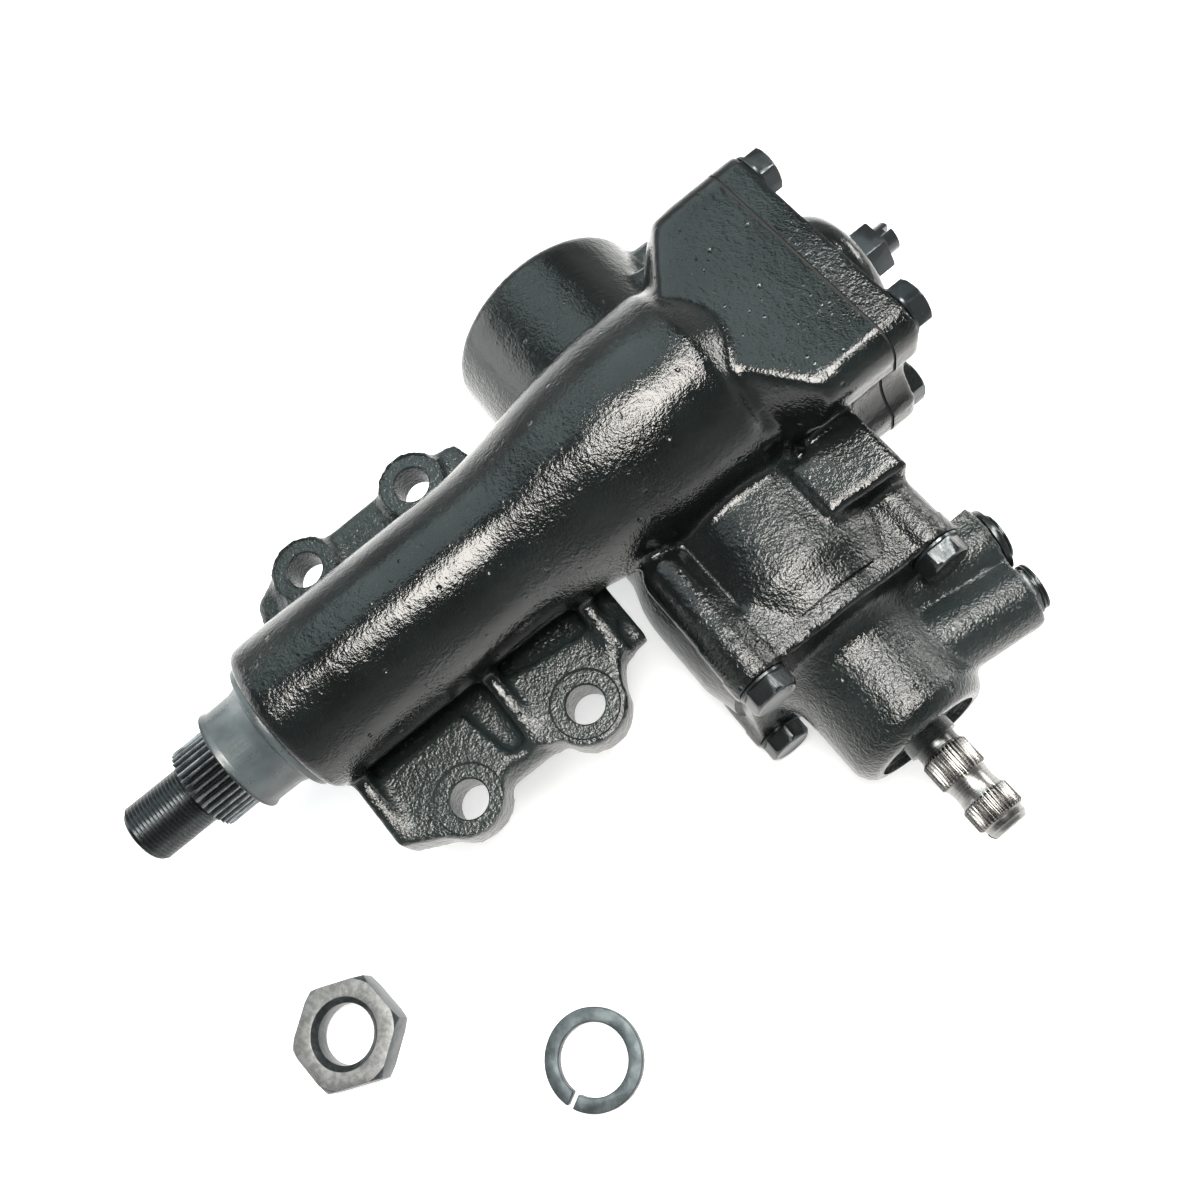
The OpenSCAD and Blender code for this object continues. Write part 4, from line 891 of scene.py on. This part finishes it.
# Fasteners.
def bolt_mesh(radius, flats, head, collar):
    """One hexagon bolt head on a washer face, standing on the origin."""
    work = bmesh.new()
    top_r = flats * 0.93
    sides = 72
    turns = [k * math.tau / sides for k in range(sides)]
    collar_top = 1.4 * MM
    corner = flats / math.cos(math.pi / 6)
    hexagon = [flats / math.cos(angle % (math.pi / 3) - math.pi / 6) for angle in turns]
    round_loops = (
        (collar * 0.96, 0.0), (collar, 0.25 * MM), (collar, 1.15 * MM), (collar * 0.95, collar_top))
    hex_loops = (
        (corner * 0.985, collar_top), (corner * 0.985, head - 1.3 * MM), (flats * 1.04, head - 0.5 * MM),
        (top_r, head), (top_r * 0.86, head - 0.35 * MM))
    shapes = [([reach] * sides, height) for reach, height in round_loops]
    shapes += [([min(reach, limit) for reach in hexagon], height) for limit, height in hex_loops]
    loops = [[work.verts.new((reach * math.cos(angle), reach * math.sin(angle), height))
              for reach, angle in zip(reaches, turns)] for reaches, height in shapes]
    for low, high in zip(loops, loops[1:]):
        for k in range(sides):
            work.faces.new((low[k], low[(k + 1) % sides], high[(k + 1) % sides], high[k]))
    work.faces.new(loops[-1])
    work.faces.new(list(reversed(loops[0])))
    bmesh.ops.create_cone(work, cap_ends=True, segments=24, radius1=radius, radius2=radius, depth=8 * MM,
                          matrix=Matrix.Translation((0, 0, -4 * MM)))
    return to_mesh(work, "bolt_shape")


def bolt_tree():
    """Node tree that stands a bolt on every point and turns it by the point's own turn."""
    tree = bpy.data.node_groups.new("bolt_set", "GeometryNodeTree")
    for name, way, kind in (
            ("Geometry", "INPUT", "Geometry"), ("Bolt", "INPUT", "Object"),
            ("Finish", "INPUT", "Material"), ("Geometry", "OUTPUT", "Geometry")):
        tree.interface.new_socket(name, in_out=way, socket_type="NodeSocket" + kind)
    enter = tree.nodes.new("NodeGroupInput")
    leave = tree.nodes.new("NodeGroupOutput")
    shape = tree.nodes.new("GeometryNodeObjectInfo")
    turn = tree.nodes.new("GeometryNodeInputNamedAttribute")
    turn.data_type = "FLOAT_VECTOR"
    turn.inputs["Name"].default_value = "turn"
    stand = tree.nodes.new("GeometryNodeInstanceOnPoints")
    real = tree.nodes.new("GeometryNodeRealizeInstances")
    coat = tree.nodes.new("GeometryNodeSetMaterial")
    for source, output, target, socket in (
            (enter, "Geometry", stand, "Points"),
            (enter, "Bolt", shape, "Object"),
            (shape, "Geometry", stand, "Instance"),
            (turn, "Attribute", stand, "Rotation"),
            (stand, "Instances", real, "Geometry"),
            (real, "Geometry", coat, "Geometry"),
            (enter, "Finish", coat, "Material"),
            (coat, "Geometry", leave, "Geometry")):
        tree.links.new(source.outputs[output], target.inputs[socket])
    return tree


def bolt_set(tree, node, axis, turns, diameter):
    """A set of like bolts on the seats of a node."""
    coat = FINISH[SLOT_OF[node]]
    head = bolt_mesh(diameter / 2, diameter * 0.85, diameter * 0.82, diameter * 0.98)
    shape = placed("bolt_shape", head)
    mesh = bpy.data.meshes.new(node + "_points")
    mesh.from_pydata([tuple(seat) for seat in seats(node, axis)], [], [])
    lean = LEAN[axis].to_matrix()
    attribute = mesh.attributes.new("turn", "FLOAT_VECTOR", "POINT")
    for entry, turn in zip(attribute.data, turns):
        entry.vector = (lean @ Euler((0, 0, math.radians(turn))).to_matrix()).to_euler()
    holder = placed(node + "_holder", mesh)
    modifier = holder.modifiers.new("bolts", "NODES")
    modifier.node_group = tree
    names = {item.name: item.identifier for item in tree.interface.items_tree if item.in_out == "INPUT"}
    modifier[names["Bolt"]] = shape
    modifier[names["Finish"]] = coat
    result = taken(holder, shape)
    result.name = node + "_set"
    add_piece(node + "_set", result, node, [coat], smooth=28)


class GEARBOX_OT_fasteners(bpy.types.Operator):
    """Makes the cover bolts, valve bolts, plugs, adjuster lock nut and adjusting screw"""

    bl_idname = "gearbox.fasteners"
    bl_label = "Fasteners"

    def execute(self, context):
        tree = bolt_tree()
        bolt_set(tree, "cover_bolts", 1, (12, 5, 25, 50), 10 * MM)
        bolt_set(tree, "valve_bolts", 0, (45, 48, 42, 31), 10 * MM)
        for node in ("cylinder_plug", "relief_plug", "adjuster_lock_nut"):
            add_piece(node + "_forged", bevelled(node, 0.35 * MM), node, [FINISH[SLOT_OF[node]]])
        self.adjusting_screw()
        return {"FINISHED"}

    def adjusting_screw(self):
        shell = to_mesh(node_copy("adjusting_screw"), "adjusting_screw_shell")
        mesh = baked(shell, "adjusting_screw_look", "BEVEL", width=0.3 * MM, segments=2,
                     limit_method="ANGLE", angle_limit=math.radians(35))
        add_piece("adjusting_screw_slotted", mesh, "adjusting_screw", [FINISH["painted_fastener"]])


# Shafts.
def thread_into(work, radius, depth, pitch, low, high, tip, steps=56):
    """Adds a right-hand thread along -Y to +Y about the sector axis, with a chamfer at its low end."""
    shape = ((0.0, 0.0), (0.1, 0.0), (0.46, 1.0), (0.62, 1.0))
    turns = int(math.ceil((high - low) / pitch)) + 2
    total = turns * steps
    grid = []
    for row in range(total + 1):
        angle = -row * math.tau / steps
        line = []
        for share, rise in shape:
            along = low - pitch + pitch * (row / steps + share)
            clipped = min(max(along, low), high)
            reach = radius - depth + depth * rise
            if clipped - low < tip:
                reach = min(reach, radius - tip + (clipped - low))
            if along <= low or along >= high:
                reach = min(reach, radius - depth)
            height = SECTOR_Z + reach * math.sin(angle)
            line.append(work.verts.new((reach * math.cos(angle), clipped, height)))
        grid.append(line)
    last = len(shape) - 1
    for row in range(total):
        for k in range(last):
            work.faces.new((grid[row][k], grid[row + 1][k], grid[row + 1][k + 1], grid[row][k + 1]))
        if row + steps + 1 <= total:
            ahead = row + steps
            work.faces.new((grid[row][last], grid[row + 1][last], grid[ahead + 1][0], grid[ahead][0]))
    centre = work.verts.new((0, low, SECTOR_Z))
    for row in range(steps):
        work.faces.new((grid[row + 1][0], grid[row][0], centre))


class GEARBOX_OT_shafts(bpy.types.Operator):
    """Makes the sector shaft with its cut thread and the splined input shaft"""

    bl_idname = "gearbox.shafts"
    bl_label = "Shafts"

    def execute(self, context):
        pitch = settings().gearbox_shaft.thread_pitch
        thread = MOUNTS["drop_arm_thread"]["dims"]
        radius = thread["r_mm"] * MM
        low = box_span("sector_shaft", 1)[0]
        high = low + (thread["length_mm"] + 1.5) * MM
        work = node_copy("sector_shaft")
        stub = [v for v in work.verts if v.co.y < high - 0.2 * MM]
        bmesh.ops.delete(work, geom=stub, context="VERTS")
        start = set(work.verts)
        thread_into(work, radius, 0.62 * pitch, pitch, low, high + 0.4 * MM, 1.6 * MM)
        fresh = [v for v in work.verts if v not in start]
        bmesh.ops.remove_doubles(work, verts=fresh, dist=0.003 * MM)
        close_holes(work)
        mesh = to_mesh(work, "sector_shaft_look")
        add_piece("sector_shaft_threaded", mesh, "sector_shaft", [FINISH["sector_steel"]], smooth=32)
        mesh = bevelled("input_shaft", 0.12 * MM, 1, 32)
        add_piece("input_shaft_splined", mesh, "input_shaft", [FINISH["input_steel"]], smooth=32)
        return {"FINISHED"}


# Seals.
class GEARBOX_OT_seals(bpy.types.Operator):
    """Moulds the rubber dust seal on the barrel end"""

    bl_idname = "gearbox.seals"
    bl_label = "Seals"

    def execute(self, context):
        mesh = bevelled("dust_seal", 0.35 * MM, 3, 20)
        add_piece("dust_seal_moulded", mesh, "dust_seal", [FINISH["dust_rubber"]], smooth=40)
        return {"FINISHED"}


# Ports.
class GEARBOX_OT_ports(bpy.types.Operator):
    """Makes the two unions of the oil ports"""

    bl_idname = "gearbox.ports"
    bl_label = "Ports"

    def execute(self, context):
        for node in ("pressure_union", "return_union"):
            add_piece(node + "_turned", bevelled(node, 0.25 * MM), node, [FINISH["painted_fastener"]])
        return {"FINISHED"}


# Loose pieces beside the gearbox.
class GEARBOX_OT_loose(bpy.types.Operator):
    """Makes the drop arm nut and the split washer that lie beside the gearbox"""

    bl_idname = "gearbox.loose"
    bl_label = "Nut and washer"

    def execute(self, context):
        mesh = bevelled("drop_arm_nut", 0.3 * MM)
        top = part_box("drop_arm_nut")[1].z
        coats = [FINISH["dark_steel"], FINISH["faced_steel"]]
        piece = add_piece("drop_arm_nut_forged", mesh, "drop_arm_nut", coats)
        for face in piece.data.polygons:
            if face.normal.z > 0.9 and face.center.z > top - 0.2 * MM:
                face.material_index = 1
        mesh = bevelled("lock_washer", 0.5 * MM, 3)
        add_piece("lock_washer_coiled", mesh, "lock_washer", [FINISH["spring_steel"]])
        return {"FINISHED"}


# Pieces that stay as they are in the solids.
class GEARBOX_OT_inner(bpy.types.Operator):
    """Gives every solid the finish of its slot, which the pieces inside the housings keep"""

    bl_idname = "gearbox.inner"
    bl_label = "Inner pieces"

    def execute(self, context):
        for name, node in NODES.items():
            node.data.materials.clear()
            node.data.materials.append(FINISH[SLOT_OF[name]])
        return {"FINISHED"}


# Stage: a floor that bends up into a round backdrop, whose glow falls in two steps with its height.
FLOOR_REACH = 2.2
FLOOR_BEND = 1.3
BACKDROP_TOP = 4.5
FLOOR_GLOW = 0.55
BACKDROP_GLOW = 0.3
GLOW_FALL = (0.0, 0.6)
GLOW_END = (1.3, 2.4)
FLOOR_DROP = 0.3 * MM
LAMP_AIM = Vector((0.03, 0.06, 0.02))
CAMERA_SENSOR = 36.0
CAMERA_LENS = 36.33
CAMERA_PLACE = (0.2032, 0.0400, 0.4394)
CAMERA_RIGHT = (0.5944, 0.7761, -0.2106)
CAMERA_DOWN = (0.7116, -0.6296, -0.3120)
CAMERA_AHEAD = (-0.3747, 0.0356, -0.9265)
# Each lamp: name, direction from its aim, distance, width and height, watts, colour.
LAMPS = (
    ("key_panel", (0.10, 0.05, 0.99), 0.95, (0.46, 0.44), 12.5, (1.0, 0.965, 0.91)),
    ("sky_panel", (-0.62, 0.08, 0.78), 1.10, (0.85, 0.85), 3.5, (0.82, 0.98, 1.0)),
    ("back_panel", (-0.12, 0.47, 0.87), 1.0, (0.17, 0.36), 4.2, (1.0, 0.98, 0.95)),
    ("cover_panel", (-0.05, 0.95, 0.30), 1.0, (0.40, 0.26), 3.4, (1.0, 0.98, 0.95)),
    ("left_window", (-0.66, -0.72, 0.22), 1.0, (0.70, 0.50), 2.7, (0.97, 1.0, 0.99)),
)


class GEARBOX_OT_stage(bpy.types.Operator):
    """Sets the floor, the lamps, the room light and the camera"""

    bl_idname = "gearbox.stage"
    bl_label = "Stage"

    def execute(self, context):
        scene = context.scene
        scene.view_settings.view_transform = "Standard"
        self.floor()
        self.lamps()
        self.room()
        self.camera(scene)
        return {"FINISHED"}

    def floor(self):
        work = bmesh.new()
        sides = 96
        arc = [math.radians(angle) for angle in range(0, 91, 6)]
        profile = [(FLOOR_REACH + FLOOR_BEND * math.sin(a), FLOOR_BEND * (1 - math.cos(a))) for a in arc]
        profile.append((profile[-1][0], BACKDROP_TOP))
        turns = [k * math.tau / sides for k in range(sides)]
        rings = [[work.verts.new((reach * math.cos(turn), reach * math.sin(turn), height))
                  for turn in turns] for reach, height in profile]
        work.faces.new(rings[0])
        for low, high in zip(rings, rings[1:]):
            for k in range(sides):
                work.faces.new((low[k], high[k], high[(k + 1) % sides], low[(k + 1) % sides]))
        bmesh.ops.recalc_face_normals(work, faces=work.faces)
        mesh = to_mesh(work, "floor")
        mesh.shade_smooth()
        mesh.transform(Matrix.Translation((0, 0, FLOOR_Z - FLOOR_DROP)))
        floor = placed("floor", mesh)
        kit = Finish("pale_floor")
        straight, glossy, through = (
            kit.node("ShaderNodeLightPath", out=f"Is {ray} Ray")
            for ray in ("Camera", "Glossy", "Transmission"))
        rays = straight + glossy + through
        seen = kit.node("ShaderNodeMath", {"operation": "MINIMUM"}, {0: rays, 1: 1.0})
        height = kit.along(2)
        glow = FLOOR_GLOW - (FLOOR_GLOW - BACKDROP_GLOW) * kit.step(height, *GLOW_FALL)
        glow = glow - BACKDROP_GLOW * kit.step(height, *GLOW_END)
        mesh.materials.append(kit.set(
            Base_Color=settings().gearbox_stage.floor, Roughness=0.9, Specular_IOR_Level=0.0,
            Emission_Color=kit.mix(glow, (0, 0, 0), (1, 1, 1)), Emission_Strength=seen))

    def lamps(self):
        for name, direction, distance, size, power, colour in LAMPS:
            data = bpy.data.lights.new(name, "AREA")
            data.shape = "RECTANGLE"
            data.size, data.size_y = size
            data.energy = power
            data.color = colour
            lamp = placed(name, data)
            lamp.location = LAMP_AIM + Vector(direction).normalized() * distance
            lamp.rotation_euler = (LAMP_AIM - lamp.location).to_track_quat("-Z", "Y").to_euler()

    def room(self):
        world = bpy.data.worlds.new("studio")
        world.use_nodes = True
        light = world.node_tree.nodes["Background"].inputs
        light["Color"].default_value = (0.95, 0.98, 1.0, 1)
        light["Strength"].default_value = settings().gearbox_stage.world
        bpy.context.scene.world = world

    def camera(self, scene):
        data = bpy.data.cameras.new("camera")
        data.sensor_width = CAMERA_SENSOR
        data.lens = CAMERA_LENS
        camera = placed("camera", data)
        right, down, ahead = (Vector(v) for v in (CAMERA_RIGHT, CAMERA_DOWN, CAMERA_AHEAD))
        turn = Matrix((right, -down, -ahead)).transposed().to_4x4()
        camera.matrix_world = Matrix.Translation(CAMERA_PLACE) @ turn
        scene.camera = camera


class GEARBOX_PT_panel(bpy.types.Panel):
    """Lists the steps and settings of the gearbox"""

    bl_idname = "GEARBOX_PT_panel"
    bl_label = "Steering gearbox"
    bl_space_type = "VIEW_3D"
    bl_region_type = "UI"
    bl_category = "Gearbox"

    def draw(self, context):
        column = self.layout.column()
        for operator in OPERATORS:
            column.operator(operator.bl_idname)
        for name, group in GROUPS.items():
            for setting in group.__annotations__:
                column.prop(getattr(context.scene, name), setting)


GROUPS = {
    "gearbox_paint": PaintSettings,
    "gearbox_shaft": ShaftSettings,
    "gearbox_seal": SealSettings,
    "gearbox_stage": StageSettings,
}
OPERATORS = (
    GEARBOX_OT_inner,
    GEARBOX_OT_castings,
    GEARBOX_OT_fasteners,
    GEARBOX_OT_shafts,
    GEARBOX_OT_seals,
    GEARBOX_OT_ports,
    GEARBOX_OT_loose,
    GEARBOX_OT_stage,
)


def register():
    for group in GROUPS.values():
        bpy.utils.register_class(group)
    for name, group in GROUPS.items():
        setattr(bpy.types.Scene, name, bpy.props.PointerProperty(type=group))
    for operator in OPERATORS:
        bpy.utils.register_class(operator)
    bpy.utils.register_class(GEARBOX_PT_panel)


def unregister():
    bpy.utils.unregister_class(GEARBOX_PT_panel)
    for operator in reversed(OPERATORS):
        bpy.utils.unregister_class(operator)
    for name in GROUPS:
        delattr(bpy.types.Scene, name)
    for group in reversed(list(GROUPS.values())):
        bpy.utils.unregister_class(group)


def main():
    register()
    make_finishes()
    for operator in OPERATORS:
        group, name = operator.bl_idname.split(".")
        getattr(getattr(bpy.ops, group), name)()


if __name__ == "__main__":
    main()
